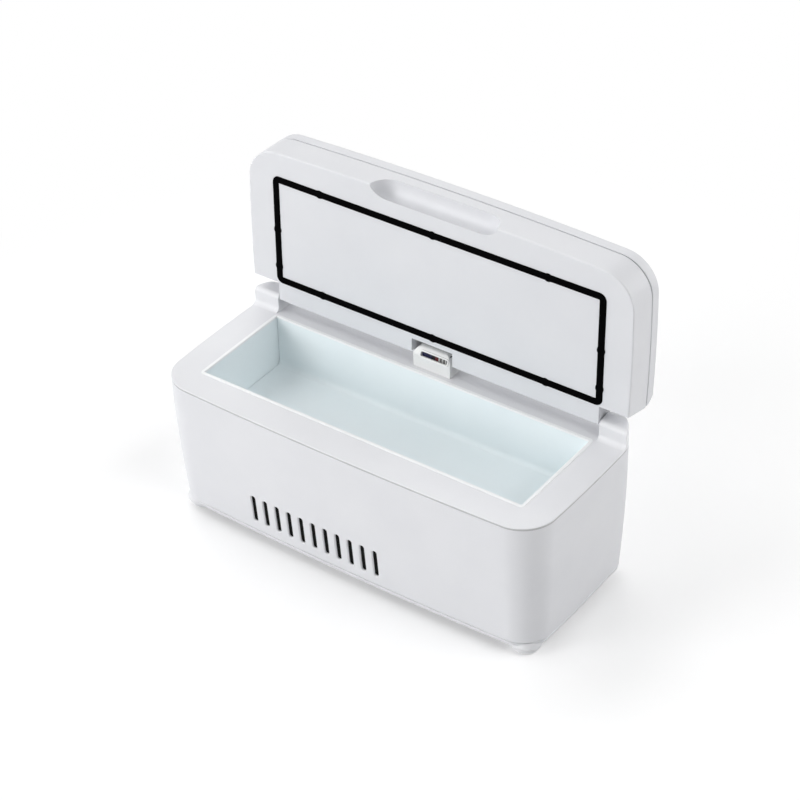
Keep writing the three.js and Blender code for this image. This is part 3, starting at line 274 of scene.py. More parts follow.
def beads(scale):
    """Round cells, as in bead foam."""
    return lambda tree, place: step(
        tree, "ShaderNodeTexVoronoi", {"Vector": place, "Scale": scale}).outputs["Distance"]


def mottle(scale, dark, light, detail=4.0):
    """Soft clouds between two tones."""
    return lambda tree, place: ramp(tree, noise(tree, place, scale, detail), (0.3, dark), (0.7, light))


def brushed(dark, light):
    """Fine lines along the piece."""
    stretch = (40.0, 2600.0, 2600.0)
    return lambda tree, place: mottle(1.0, dark, light, 3.0)(
        tree, step(tree, "ShaderNodeMapping", {"Vector": place, "Scale": stretch}).outputs[0])


def traces(tree, place):
    """Green lacquer with lighter tracks and a few pale pads."""
    tracks = step(tree, "ShaderNodeTexBrick", {
        "Vector": place, "Scale": 160.0, "Mortar Size": 0.06, "Color1": (0.01, 0.1, 0.04, 1),
        "Color2": (0.012, 0.12, 0.05, 1), "Mortar": (0.03, 0.22, 0.1, 1)}).outputs["Color"]
    mask = ramp(tree, beads(220.0)(tree, place), (0.1, (1, 1, 1)), (0.14, (0, 0, 0)))
    return step(tree, "ShaderNodeMix", {0: mask, 6: tracks, 7: (0.62, 0.6, 0.52, 1)}, data_type="RGBA").outputs[2]


def wrap_bands(tree, place):
    """Shrink wrap: blue film with a pale band at one end."""
    along = step(tree, "ShaderNodeSeparateXYZ", {0: place}).outputs["Y"]
    share = step(tree, "ShaderNodeMapRange", {"Value": along, "From Min": -0.045, "From Max": 0.035}).outputs[0]
    return ramp(tree, share, (0.0, (0.03, 0.12, 0.3)), (0.78, (0.035, 0.14, 0.34)), (0.8, (0.6, 0.62, 0.65)),
                (0.86, (0.62, 0.64, 0.66)), (0.88, (0.035, 0.14, 0.34)))


foam = finish_from("foam", mottle(90.0, (0.82, 0.8, 0.74), (0.9, 0.88, 0.83)), 0.9, bump=beads(420.0), bump_mm=0.4)
ceramic = finish_from("ceramic", mottle(700.0, (0.8, 0.79, 0.75), (0.87, 0.86, 0.83)), 0.6, bump=beads(2500.0))
circuit_board = finish_from("circuit_board", traces, 0.4, coat=0.2, bump=beads(220.0))
cell_wrap = finish_from("cell_wrap", wrap_bands, 0.32, coat=0.4)
bare_aluminium = finish_from("bare_aluminium", brushed((0.5, 0.51, 0.53), (0.66, 0.67, 0.69)), 0.35, metal=1.0)
steel = finish_from("steel", brushed((0.36, 0.37, 0.39), (0.5, 0.51, 0.53)), 0.28, metal=1.0)
display_black = finish_from("display_black", mottle(60.0, (0.004, 0.005, 0.006), (0.008, 0.009, 0.011)), 0.1,
                            coat=0.6)
print("finishes:", len(bpy.data.materials))

# %% [markdown]
# ## Lead colours
# The window in the hinge line shows a row of thin leads: dark blue, black, dark red, then pale and grey in turn.
# Soft cable insulation is smooth and a little glossy, with a faint ripple, so each colour is a ripple between two
# close tones.

# %% Lead colours
def insulation(name, dark, light):
    return finish_from(name, mottle(900.0, dark, light, 2.0), 0.4, bump=beads(1500.0), bump_mm=0.01)


lead_tones = {
    "navy": ((0.012, 0.013, 0.05), (0.022, 0.024, 0.085)), "black": ((0.004, 0.004, 0.005), (0.01, 0.01, 0.012)),
    "maroon": ((0.09, 0.008, 0.012), (0.15, 0.016, 0.02)), "pale": ((0.5, 0.5, 0.49), (0.62, 0.62, 0.61)),
    "grey": ((0.1, 0.1, 0.1), (0.16, 0.16, 0.16)),
}
lead_colours = {colour: insulation("lead_" + colour, *tones) for colour, tones in lead_tones.items()}
print("lead colours:", ", ".join(lead_colours))

# %% [markdown]
# ## Finishes for the solids that stay
# A solid whose shape is already right only needs its finish. Every solid gets one here, by the record's own name for
# it, and the ones that a finer piece replaces further down simply aren't shown.

# %% Give every solid its finish
finish_of_slot = {
    "case_white": case_white, "bridge_white": bridge_white, "key_white": key_white, "tray_liner": tray_liner,
    "foam": foam, "leads": lead_colours["navy"], "circuit_board": circuit_board, "black_plastic": black_plastic,
    "cell_wrap": cell_wrap, "bare_aluminium": bare_aluminium, "steel": steel, "ceramic": ceramic,
    "foot_rubber": foot_rubber, "gasket_rubber": gasket_rubber, "display_black": display_black,
}
slot_of_node = {part["node"]: part["material_slot"] for part in frame["record"]["subparts"]}
for node_name, node in frame["nodes"].items():
    node.material_slots[0].material = finish_of_slot[slot_of_node[node_name]]
print("solids with a finish:", len(slot_of_node))

# %% [markdown]
# ## Shapes by rule
# The case is a rectangle with round corners whose four sides bulge a little, and its walls draw in towards the floor.
# One rule gives that outline at any inset, so the wall, the deck, the bottom cover and the lid all share it and stay
# in line. Millimetres are easier to read here, and each mesh is written in metres.

# %% Outline of the case
MM = 0.001
wall_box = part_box("lower_case")
middle_y = (wall_box[0].y + wall_box[1].y) / 2 / MM  # the case's own middle, in the frame
case_length, case_depth = 240, 102
foot_height = 5.4
case_height = 81.2
deck_z = foot_height + case_height
draw_in = 3.6  # how far the wall stands in at the height of the floor plate
fit = 0.3  # clearance round what slides into a hole
overrun = 3  # how far a cutter stands out of what it cuts
least_round_share = 0.02


def block_plan(length, depth, radius, x=0, y=0, corner=6):
    """A rectangle with round corners about a point. Its corners and sides are divided into steps."""
    return {"length": length, "depth": depth, "front": radius, "rear": radius, "bow_x": 0, "bow_y": 0, "x": x,
            "y": y, "corner": corner, "long": 1, "short": 1}


case_plan = {**block_plan(case_length, case_depth, 18, corner=14), "rear": 15, "bow_x": 1.2, "bow_y": 2.6,
             "long": 48, "short": 18}


def outline(plan, inset=0.0):
    """Points of a plan drawn in by inset, counter-clockwise from the front right corner."""
    half_x = plan["length"] / 2 - plan["bow_x"] - inset
    half_y = plan["depth"] / 2 - plan["bow_y"] - inset
    corners = ((1, -1, plan["front"], -1), (1, 1, plan["rear"], 0), (-1, 1, plan["rear"], 1),
               (-1, -1, plan["front"], 2))
    straight = []
    for index, (side_x, side_y, radius, quarters) in enumerate(corners):
        corner_round = max(radius - inset, least_round_share * plan["rear"])
        for k in range(plan["corner"] + 1):
            angle = (quarters + k / plan["corner"]) * math.pi / 2
            steps = 1 if k < plan["corner"] else plan["long" if index % 2 else "short"]
            straight.append((side_x * (half_x - corner_round) + corner_round * math.cos(angle),
                             side_y * (half_y - corner_round) + corner_round * math.sin(angle), steps))
    points = []
    for (x0, y0, steps), (x1, y1, _) in zip(straight, straight[1:] + straight[:1]):
        for k in range(steps):
            x = x0 + (x1 - x0) * k / steps
            y = y0 + (y1 - y0) * k / steps
            bulge_x = 1 + plan["bow_x"] / half_x * (1 - (y / half_y) ** 2)
            bulge_y = 1 + plan["bow_y"] / half_y * (1 - (x / half_x) ** 2)
            points.append((x * bulge_x + plan["x"], y * bulge_y + plan["y"]))
    return points


def level(plan, inset, z):
    return [(x, y, z) for x, y in outline(plan, inset)]


def drawn_in(z):
    return draw_in * ((deck_z - z) / case_height) ** 2


print("outline points:", len(outline(case_plan)), "middle of the case at y", round(middle_y, 3), "mm")

# %% [markdown]
# ## Making, cutting and settling
# A piece grows from rings of points, one above the other, closed by a face at each end. Holes and joins are
# booleans. The manifold kind is quick and keeps a closed body closed. After each, the modifier is turned into plain
# mesh, because the finished piece should hold no live boolean.

# %% Making and cutting
def add_piece(name, points, faces, edges=()):
    """A new object from points in the case's millimetres."""
    mesh = bpy.data.meshes.new(name)
    mesh.from_pydata([(x * MM, (y + middle_y) * MM, z * MM) for x, y, z in points], list(edges), faces)
    piece = bpy.data.objects.new(name, mesh)
    scene.collection.objects.link(piece)
    return piece


def loft(name, rings):
    """A closed body through rings with the same number of points."""
    count = len(rings[0])
    faces = [tuple(reversed(range(count)))]
    for ring in range(len(rings) - 1):
        for k in range(count):
            a, b = ring * count + k, ring * count + (k + 1) % count
            faces.append((a, b, b + count, a + count))
    faces.append(tuple(range((len(rings) - 1) * count, len(rings) * count)))
    piece = add_piece(name, [p for ring in rings for p in ring], faces)
    shape = bmesh.new()
    shape.from_mesh(piece.data)
    if shape.calc_volume(signed=True) < 0:
        bmesh.ops.reverse_faces(shape, faces=shape.faces)
        shape.to_mesh(piece.data)
    shape.free()
    return piece


def stack(name, plan, *levels):
    """A closed body through (inset, z) levels of a plan."""
    return loft(name, [level(plan, inset, z) for inset, z in levels])


def slab(name, plan, inset, low, high):
    return stack(name, plan, (inset, low), (inset, high))


def box(name, x0, x1, y0, y1, z0, z1):
    return loft(name, [[(x0, y0, z), (x1, y0, z), (x1, y1, z), (x0, y1, z)] for z in (z0, z1)])


def along_x(name, profile, x0, x1):
    """A profile of (y, z) points drawn out along the case. The next two do the same the other ways."""
    return loft(name, [[(x, y, z) for y, z in profile] for x in (x0, x1)])


def along_y(name, profile, y0, y1):
    return loft(name, [[(x, y, z) for x, z in profile] for y in (y0, y1)])


def along_z(name, profile, z0, z1):
    return loft(name, [[(x, y, z) for x, y in profile] for z in (z0, z1)])


def quarter(steps):
    """The angles of a quarter turn in equal steps."""
    return [k / steps * math.pi / 2 for k in range(steps + 1)]


def full_turn(sides):
    return [2 * math.pi * k / sides for k in range(sides)]


def circle(radius, x=0, y=0, sides=32):
    return [(x + radius * math.cos(a), y + radius * math.sin(a)) for a in full_turn(sides)]


def quarter_round(radius, steps=6):
    """(inset, drop) pairs from the side of a rounded edge to its top."""
    return [(radius * (1 - math.cos(a)), radius * (1 - math.sin(a))) for a in quarter(steps)]


def soft_top(z, radius, steps=6, inset=0.0):
    """(inset, z) levels of a rounded upper edge. The next ones are those of a lower edge."""
    return [(inset + aside, z - drop) for aside, drop in quarter_round(radius, steps)]


def soft_foot(z, radius, steps=6, inset=0.0):
    return [(inset + aside, z + drop) for aside, drop in reversed(quarter_round(radius, steps))]


def rod(radius, x, y, low, high, sides):
    """An upright round bar about a point."""
    return along_z("rod", circle(radius, x, y, sides), low, high)


def obround(x, y, width, height, grow=0.0, sides=10):
    """A slot with round ends about a point."""
    radius = min(width, height) / 2 + grow
    reach_x = max(width / 2 + grow - radius, 0)
    reach_y = max(height / 2 + grow - radius, 0)
    points = []
    for quarters, (side_x, side_y) in enumerate(((1, 1), (-1, 1), (-1, -1), (1, -1))):
        for part in quarter(sides // 2):
            angle = quarters * math.pi / 2 + part
            point = (x + side_x * reach_x + radius * math.cos(angle), y + side_y * reach_y + radius * math.sin(angle))
            if not points or math.dist(point, points[-1]) > 1e-6:
                points.append(point)
    if math.dist(points[0], points[-1]) < 1e-6:
        points.pop()
    return points


def turn(name, profile, axis, x=0.0, y=0.0, z=0.0, sides=48):
    """A turned piece with flat ends: a profile of (radius, along) points round an axis through a point."""
    rings = []
    for radius, along in profile:
        spokes = [(radius * math.cos(angle), radius * math.sin(angle)) for angle in full_turn(sides)]
        rings.append([(x + c, y + s, z + along) if axis == "z" else (x + s, y + along, z + c) for c, s in spokes])
    return loft(name, rings)


def settle(piece):
    """Turns the modifiers of a piece into plain mesh."""
    bpy.context.view_layer.update()
    shape = bpy.data.meshes.new_from_object(piece.evaluated_get(bpy.context.evaluated_depsgraph_get()))
    piece.modifiers.clear()
    old, piece.data = piece.data, shape
    bpy.data.meshes.remove(old)
    return piece


def combine(piece, operation, tools):
    for tool in tools:
        change = piece.modifiers.new("change", "BOOLEAN")
        change.operation = operation
        change.solver = "MANIFOLD"
        change.object = tool
        settle(piece)
        bpy.data.meshes.remove(tool.data)
    return piece


def cut(piece, *tools):
    return combine(piece, "DIFFERENCE", tools)


def join(piece, *tools):
    return combine(piece, "UNION", tools)


def common(piece, *tools):
    return combine(piece, "INTERSECT", tools)


def complete(piece, finish, body, slot, *nodes, sharp=32):
    """Smooth faces with crisp edges, the finish, and the place of the piece in the frame."""
    shape = bmesh.new()
    shape.from_mesh(piece.data)
    bmesh.ops.remove_doubles(shape, verts=shape.verts, dist=1e-6)
    for face in shape.faces:
        face.smooth = True
    for edge in shape.edges:
        edge.smooth = len(edge.link_faces) == 2 and edge.calc_face_angle() < math.radians(sharp)
    shape.to_mesh(piece.data)
    open_edges = sum(1 for edge in shape.edges if len(edge.link_faces) != 2)
    shape.free()
    facing = piece.modifiers.new("facing", "WEIGHTED_NORMAL")
    facing.keep_sharp = True
    settle(piece)
    piece.data.materials.clear()
    piece.data.materials.append(finish)
    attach(piece, body)
    if nodes:
        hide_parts(*nodes)
    print(f"{piece.name}: {len(piece.data.polygons)} faces, {open_edges} open edges")


print("tools ready")

# %% [markdown]
# ## A section swept along a path
# The wall of the case, the seal in the lid and the leads are all one section drawn along a line. Geometry Nodes do
# that with Curve to Mesh, and the same small tree serves all of them: the object's own edges are the path, and a
# second object holds the section. The result is made real and plain before anything else uses it.

# %% Sweep tree
def new_tree(name, *inputs):
    """A node tree for shapes, with a geometry input and output and the named inputs given."""
    tree = bpy.data.node_groups.new(name, "GeometryNodeTree")
    tree.interface.new_socket(name="Geometry", in_out="INPUT", socket_type="NodeSocketGeometry")
    for label, kind in inputs:
        tree.interface.new_socket(name=label, in_out="INPUT", socket_type="NodeSocket" + kind)
    tree.interface.new_socket(name="Geometry", in_out="OUTPUT", socket_type="NodeSocketGeometry")
    return tree, tree.nodes.new("NodeGroupInput").outputs


def end_tree(tree, shape, finish):
    """Makes instances real, gives them the finish, and ends the tree."""
    real = step(tree, "GeometryNodeRealizeInstances", {0: shape})
    painted = step(tree, "GeometryNodeSetMaterial", {"Geometry": real.outputs[0], "Material": finish})
    step(tree, "NodeGroupOutput", {0: painted.outputs[0]})


def grow(piece, tree, **values):
    """Runs a tree on a piece, with its inputs set by their identifiers, and keeps the result as plain mesh."""
    change = piece.modifiers.new("grow", "NODES")
    change.node_group = tree
    for item in tree.interface.items_tree:
        if item.in_out == "INPUT" and item.name.lower() in values:
            change[item.identifier] = values[item.name.lower()]
    return settle(piece)


sweep_tree, given = new_tree("sweep_section", ("Section", "Object"), ("Finish", "Material"))
path = step(sweep_tree, "GeometryNodeMeshToCurve", {0: given["Geometry"]})
level_path = step(sweep_tree, "GeometryNodeSetCurveNormal", {"Curve": path.outputs[0]}, mode="Z_UP")
section_shape = step(sweep_tree, "GeometryNodeObjectInfo", {"Object": given["Section"]})
section_curve = step(sweep_tree, "GeometryNodeMeshToCurve", {0: section_shape.outputs["Geometry"]})
swept = step(sweep_tree, "GeometryNodeCurveToMesh", {
    "Curve": level_path.outputs[0], "Profile Curve": section_curve.outputs[0], "Fill Caps": True})
end_tree(sweep_tree, swept.outputs[0], given["Finish"])


def ring_edges(count):
    return [(k, (k + 1) % count) for k in range(count)]


def sweep(name, path_points, section_points, finish, closed=True):
    """Sweeps a section of (outward, down) points in millimetres along a path. The section runs counter-clockwise."""
    edges = ring_edges(len(path_points)) if closed else [(k, k + 1) for k in range(len(path_points) - 1)]
    piece = add_piece(name, path_points, [], edges)
    mesh = bpy.data.meshes.new("section")
    mesh.from_pydata([(x * MM, y * MM, 0) for x, y in section_points], ring_edges(len(section_points)), [])
    section = bpy.data.objects.new("section", mesh)
    scene.collection.objects.link(section)
    grow(piece, sweep_tree, section=section, finish=finish)
    bpy.data.meshes.remove(mesh)
    return piece


def sweep_round(name, plan, section_points, finish):
    return sweep(name, level(plan, 0.0, 0), section_points, finish)


print("sweep tree:", len(sweep_tree.nodes), "nodes")

# %% [markdown]
# ## Case wall
# The wall is a closed band: upright at the deck, drawn in towards the floor, with a rounded lip along the top that
# catches the light under the dark seam. Its section holds all of that, so one sweep along the outline makes it.

# %% Case wall
wall = 2.6
cover_edge = 3.3
seam = 0.6
deck_edge = 0.5
lip_round = 1.5
chamfer = 0.3
wall_bottom = foot_height + cover_edge + fit
wall_top = deck_z - deck_edge - seam

heights = [wall_bottom + (wall_top - lip_round - wall_bottom) * k / 16 for k in range(17)]
outside = [(drawn_in(wall_bottom) + chamfer, wall_bottom)]
outside += [(drawn_in(z), z) for z in (wall_bottom + chamfer, *heights[1:])]
lip = soft_top(wall_top, lip_round)[1:]
inside = [(drawn_in(z) + wall, z) for z in heights] + [(wall, wall_top)]
case_wall = sweep_round("case_wall", case_plan, [(-inset, -z) for inset, z in inside + (outside + lip)[::-1]],
                        case_white)
print("wall from", round(wall_bottom, 1), "to", round(wall_top, 1), "mm,", len(case_wall.data.polygons), "faces")

# %% [markdown]
# ## Painted shade in the seam between wall and deck
# A thin grey strip lies in the joint under the deck as painted shade: it darkens the seam into the fine line all
# round.
# It is set back a little from the edge, so the deck still throws its own shadow on it. A stepped section makes the
# ring.

# %% Painted shade in the deck seam
seal_front, seal_step, seal_back = -0.3, -1.8, -2.8
clear = 0.01
seal_low, seal_high, seal_top = -wall_top + 0.6, -wall_top - clear, -wall_top - seam + clear
# the strip's grey is painted shade: it darkens the seam under the deck into a line
seam_painted_shade = moulded("seam_painted_shade", (0.5, 0.5, 0.51), (0.56, 0.56, 0.57), 0.7, grain_mm=0.2, specular=0.2)
deck_seal = sweep_round("deck_seal", case_plan, [
    (seal_step, seal_high), (seal_step, seal_low), (seal_front, seal_low), (seal_front, seal_top),
    (seal_back, seal_top), (seal_back, seal_high)], seam_painted_shade)
complete(deck_seal, seam_painted_shade, "base", "gasket_rubber")

# %% [markdown]
# ## Vents
# Eleven upright slots let the fan breathe. Each has a bevelled mouth that catches light all round, and the wall
# is thinner behind them, so they look dark from the side too. One cutter is placed in a row by Geometry Nodes: a ray
# from the front finds the wall at each place, and the cutter is tilted with the wall there.

# %% Vents
vent_count = 11
vent_pitch = 8.03
vent_width, vent_height = 2.6, 17.4
vent_x, vent_z = -19.0, 24.0
stack_x = -18.3
thin_wall = 1.0
thinned = (45, 13, 39)  # half the width, bottom and top
flare = 0.85


def drawn_stack(name, inset, heights):
    """A body that follows the wall, drawn in by inset."""
    return stack(name, case_plan, *[(drawn_in(z) + inset, z) for z in heights])


def in_front(name, inset, heights, half_x, low, high):
    """What of such a body lies behind the front wall, before the fan."""
    reach = box("reach", stack_x - half_x, stack_x + half_x, -60, -40, low, high)
    return common(drawn_stack(name, inset, heights), reach)


cut(case_wall, in_front("thinned", thin_wall, range(12, 41, 4), *thinned))

# how far wider than the slot, and how deep, the cutter is from its mouth to its end
mouth = [(flare + 0.1, -3.0), (flare + 0.1, -0.2), (flare, -0.05), (0.1, 0.45), (0.0, 0.6), (0.0, 8.0)]
vent_tool = loft("vent_tool", [[(x, y - middle_y, z) for x, z in obround(0, 0, vent_width, vent_height, wider)]
                               for wider, y in mouth])

vent_tree, given = new_tree("row_of_vents", ("Count", "Int"), ("Pitch", "Float"), ("Middle", "Vector"),
                            ("Cutter", "Object"), ("Finish", "Material"))


def vent_step(kind, inputs, **settings):
    return step(vent_tree, kind, inputs, **settings).outputs


spread = vent_step("ShaderNodeMath", {0: given["Count"], 1: 1.0}, operation="SUBTRACT")
length = vent_step("ShaderNodeMath", {0: spread[0], 1: given["Pitch"]}, operation="MULTIPLY")
back_off = vent_step("ShaderNodeMath", {0: length[0], 1: -0.5}, operation="MULTIPLY")
first_off = vent_step("ShaderNodeCombineXYZ", {0: back_off[0]})
first = vent_step("ShaderNodeVectorMath", {0: given["Middle"], 1: first_off[0]}, operation="ADD")
stride = vent_step("ShaderNodeCombineXYZ", {0: given["Pitch"]})
row = vent_step("GeometryNodeMeshLine", {"Count": given["Count"], "Start Location": first[0], "Offset": stride[0]})
ray = vent_step("GeometryNodeRaycast", {"Target Geometry": given["Geometry"], "Ray Direction": (0, 1, 0),
                                        "Ray Length": 0.2})
inward = vent_step("ShaderNodeVectorMath", {0: ray["Hit Normal"], 3: -1.0}, operation="SCALE")
keep_normal = step(vent_tree, "GeometryNodeCaptureAttribute", {"Geometry": row[0]})
keep_normal.capture_items.new("VECTOR", "inward")
vent_tree.links.new(inward[0], keep_normal.inputs["inward"])
on_wall = vent_step("GeometryNodeSetPosition", {"Geometry": keep_normal.outputs["Geometry"],
                                                "Position": ray["Hit Position"]})
tilt = vent_step("FunctionNodeAlignRotationToVector", {"Vector": keep_normal.outputs["inward"]}, axis="Y",
                 pivot_axis="X")
cutter = vent_step("GeometryNodeObjectInfo", {"Object": given["Cutter"]})
placed = vent_step("GeometryNodeInstanceOnPoints", {"Points": on_wall[0], "Rotation": tilt[0],
                                                    "Instance": cutter["Geometry"]})
real = vent_step("GeometryNodeRealizeInstances", {0: placed[0]})
vented = vent_step("GeometryNodeMeshBoolean", {"Mesh 1": given["Geometry"], "Mesh 2": real[0]},
                   operation="DIFFERENCE", solver="MANIFOLD")
end_tree(vent_tree, vented[0], given["Finish"])

grow(case_wall, vent_tree, count=vent_count, pitch=vent_pitch * MM, cutter=vent_tool, finish=case_white,
     middle=(vent_x * MM, -0.09, vent_z * MM))
bpy.data.meshes.remove(vent_tool.data)
print("vents:", vent_count, "slots,", len(case_wall.data.polygons), "faces in the wall")

# %% [markdown]
# ## Painted shade behind the vents
# Behind the slots lies a black sheet: painted shade, which makes the slots look black. It follows the bow of the wall,
# a little inside the thinned part: the space between two insets of the same outline.

# %% Painted shade behind the vents
vent_shade_inset, vent_shade_thickness = thin_wall + 0.15, 0.5
# a black sheet behind the slots: painted shade that makes the slots look black
vent_painted_shade = moulded("dust_gauze", (0.0015, 0.0015, 0.0015), (0.004, 0.004, 0.004), 0.8, grain_mm=0.5, depth_mm=0.1,
                      specular=0.1)
vent_shade = in_front("dust_gauze", vent_shade_inset, range(14, 39, 4), 44, 14.5, 37.5)
cut(vent_shade, drawn_stack("back", vent_shade_inset + vent_shade_thickness, range(12, 41, 4)))
complete(vent_shade, vent_painted_shade, "base", "black_plastic")

# %% [markdown]
# ## Supply inlet
# The wall has one round hole at the rear for the plug of the supply. A shallow dish round it lets a fat plug reach
# the socket. The socket itself is a turned piece: a rounded nose, a bore and a bright pin, on the moulded block that
# the board carries.

# %% Supply inlet
jack_x, jack_z = -74.0, 20.3
jack_face = 41.9
dish_outer, dish_inner, inlet_radius = 5.8, 5.2, 4.3
half_x = case_plan["length"] / 2 - case_plan["bow_x"] - drawn_in(jack_z)
half_y = case_plan["depth"] / 2 - case_plan["bow_y"] - drawn_in(jack_z)
rear_face = half_y + case_plan["bow_y"] * (1 - (jack_x / half_x) ** 2)
dish = [(dish_outer + 0.5, rear_face + overrun), (dish_outer + 0.5, rear_face), (dish_outer, rear_face - 0.6),
        (dish_inner, rear_face - 1.0)]
cut(case_wall, loft("dish", [[(x, y, z) for x, z in circle(radius, jack_x, jack_z, 40)] for radius, y in dish]),
    along_y("inlet", circle(inlet_radius, jack_x, jack_z, 40), 30, 60))

boss_height, boss_radius, rib_half = 15.0, 3.8, 0.8
bore_radius, bore_depth = 1.7, 12
quadrants = [(-1, -1), (-1, 1), (1, -1), (1, 1)]
screw_spots = [(side_x * 106.0, side_y * 20.0, 0) for side_x, side_y in quadrants]
for x, y, _ in screw_spots:
    in_wall = math.copysign(case_length / 2 - draw_in - wall / 2, x)
    boss = join(rod(boss_radius, x, y, wall_bottom, wall_bottom + boss_height, 28),
                box("rib", *sorted((x, in_wall)), y - rib_half, y + rib_half, wall_bottom, wall_bottom + boss_height))
    join(case_wall, boss)
    cut(case_wall, rod(bore_radius, x, y, wall_bottom - overrun, wall_bottom + bore_depth, 20))
complete(case_wall, case_white, "base", "case_white", "lower_case")

nose_end = rear_face - 0.4
bore_end = nose_end - 9.0
nose_profile = [(3.7, jack_face - 1), (4.0, jack_face), (4.0, nose_end - 0.5), (3.85, nose_end - 0.15),
                (3.5, nose_end), (3.0, nose_end), (2.9, nose_end - 0.15), (2.9, bore_end), (0.9, bore_end),
                (0.9, nose_end - 1.2), (0.75, nose_end - 0.7), (0.45, nose_end - 0.45)]
jack_nose = turn("dc_socket", nose_profile, "y", jack_x, 0.0, jack_z, 40)
join(jack_nose, box("block", jack_x - 5, jack_x + 5, jack_face - 11.7, jack_face, jack_z - 5.5, jack_z + 5.5))
complete(jack_nose, black_plastic, "base", "black_plastic", "dc_jack")
pin_profile = [(0.92, bore_end + 0.1), (0.92, nose_end - 1.2), (0.77, nose_end - 0.65), (0.45, nose_end - 0.42)]
complete(turn("dc_socket_pin", pin_profile, "y", jack_x, 0.0, jack_z, 20), steel, "base", "steel")

# %% [markdown]
# ## Bottom cover
# A shallow dish closes the case from below. Only its rounded rim shows from the front, as a strip under a fine
# parting line. Underneath it has the intake slots of the fan, four screw holes and the sockets of the feet. Levels
# of the same outline make the dish, and cuts make the rest.

# %% Bottom cover
cover_top = foot_height + 2.2
cover_round = 2.0
edge_soft = 0.25
edge_top = foot_height + cover_edge
rim_top = edge_top + 4.0
rim_wall = 1.6
rim_inset = draw_in + wall + fit
sink = 0.6  # how far joined pieces reach into each other
notch_half = boss_radius + fit
head_radius, head_depth = 3.2, 1.8
peg_hole = 2.7
foot_spots = [(side_x * 106.0, side_y * 36.0, 0) for side_x, side_y in quadrants]
foot_seat = [(8.65, 3.0), (8.75, 5.4), (8.25, 6.9), (7.35, 8.45)]
board_posts, post_radius, post_height = [(-92.8, -30.8), (-55.2, -30.8), (-92.8, 27.8), (6.8, 37.0)], 2.6, 5.4
grille_count, grille_pitch, grille_length, grille_width = 7, 8.0, 48, 3.3

bottom = stack("bottom_tray", case_plan, *soft_foot(foot_height, cover_round, inset=drawn_in(foot_height)),
               (drawn_in(edge_top - edge_soft), edge_top - edge_soft), (drawn_in(edge_top) + edge_soft, edge_top))
join(bottom, slab("rim", case_plan, rim_inset, edge_top - sink, rim_top))
cut(bottom, slab("hollow", case_plan, rim_inset + rim_wall, cover_top, rim_top + overrun))
for (x, y, _), (x_foot, y_foot, _) in zip(screw_spots, foot_spots):
    cut(bottom, box("notch", *((x - notch_half, case_length / 2) if x > 0 else (-case_length / 2, x + notch_half)),
                    y - notch_half, y + notch_half, edge_top, rim_top + overrun))
    join(bottom, rod(boss_radius, x, y, cover_top - sink, edge_top - 0.05, 28))
    cut(bottom, rod(bore_radius, x, y, foot_height - overrun, edge_top + overrun, 20),
        rod(head_radius, x, y, foot_height - overrun, foot_height + head_depth, 32),
        rod(peg_hole, x_foot, y_foot, foot_height - overrun, cover_top + overrun, 28))
for x, y, _ in foot_spots:
    cut(bottom, turn("foot_seat", foot_seat, "z", x, y))
for x, y in board_posts:
    join(bottom, rod(post_radius, x, y, cover_top - sink, cover_top + post_height, 24))
for k in range(grille_count):
    y = (k - (grille_count - 1) / 2) * grille_pitch
    cut(bottom, along_z("grille", obround(stack_x, y, grille_length, grille_width), foot_height - overrun,
                        cover_top + overrun))
complete(bottom, case_white, "base", "case_white", "bottom_cover")

# %% [markdown]
# ## Deck with the hinge ears
# The deck is the flat rim round the compartment. It has a crisp little round along its edge, and at its rear corners
# two ears rise out of it that hold the hinge pins. An ear is a profile drawn along the case, trimmed by a rounded
# copy of the outline, so its outer side follows the wall.

# %% Deck
hinge_y, hinge_z = 42.3, 94.3
ear_inner, ear_run, ear_half = 103.0, 18, 7.2
ear_round, ear_drop, ear_fillet, ear_edge = 3.0, 1.4, 3.3, 1.4
ear_inset = 0.05
front, rear = hinge_y - ear_half, hinge_y + ear_half
pin_boss, pin_bore, pin_length = 3.5, 1.9, 21
tongue_gap, knuckle = 0.8, 12
deck_plate, deck_soft, deck_round = 2.4, 0.1, 0.4
skirt = wall + fit
skirt_bottom = deck_z - deck_plate - 4.0
bin_left, bin_right, bin_y = -101.1, 100.1, 30.75
bin_length, bin_x = bin_right - bin_left, (bin_left + bin_right) / 2
strip_width, strip_gap, mouth_corner = 2.0, 0.05, 2.65
housing_middle, housing_half = -0.65, 11.75
spigot_inset, spigot_depth = 1.4, 8.4
spigot_half, spigot_front = housing_half - spigot_inset, front + spigot_inset


def wrapped(*groups):
    """The tight outline round groups of points, like a band round pegs."""
    points = [point for group in groups for point in group]
    return [points[k] for k in geometry.convex_hull_2d([Vector(point) for point in points])]


def on_pin_line(radius, x0, x1, sides=24):
    """A round bar along the line of the hinge pins."""
    return along_x("round", circle(radius, hinge_y, hinge_z, sides), *sorted((x0, x1)))


def ear_profile():
    """(y, z) outline of an ear: an upright front, a round shoulder, a low crown over the pin and a lower rear."""
    return wrapped(circle(ear_round, front + ear_round, hinge_z, 48), circle(pin_boss, hinge_y, hinge_z, 48),
                   circle(ear_round, rear - ear_round, hinge_z - ear_drop, 48),
                   [(front, deck_z - sink), (rear, deck_z - sink)])


def foot_fillet(radius):
    """(y, z) outline of the hollow round where an upright front meets the deck."""
    curve = [(front - radius + radius * math.sin(a), deck_z + radius * (1 - math.cos(a))) for a in quarter(8)]
    return [(front - radius, deck_z - 0.3), *curve, (front + 1, deck_z + radius), (front + 1, deck_z - 0.3)]


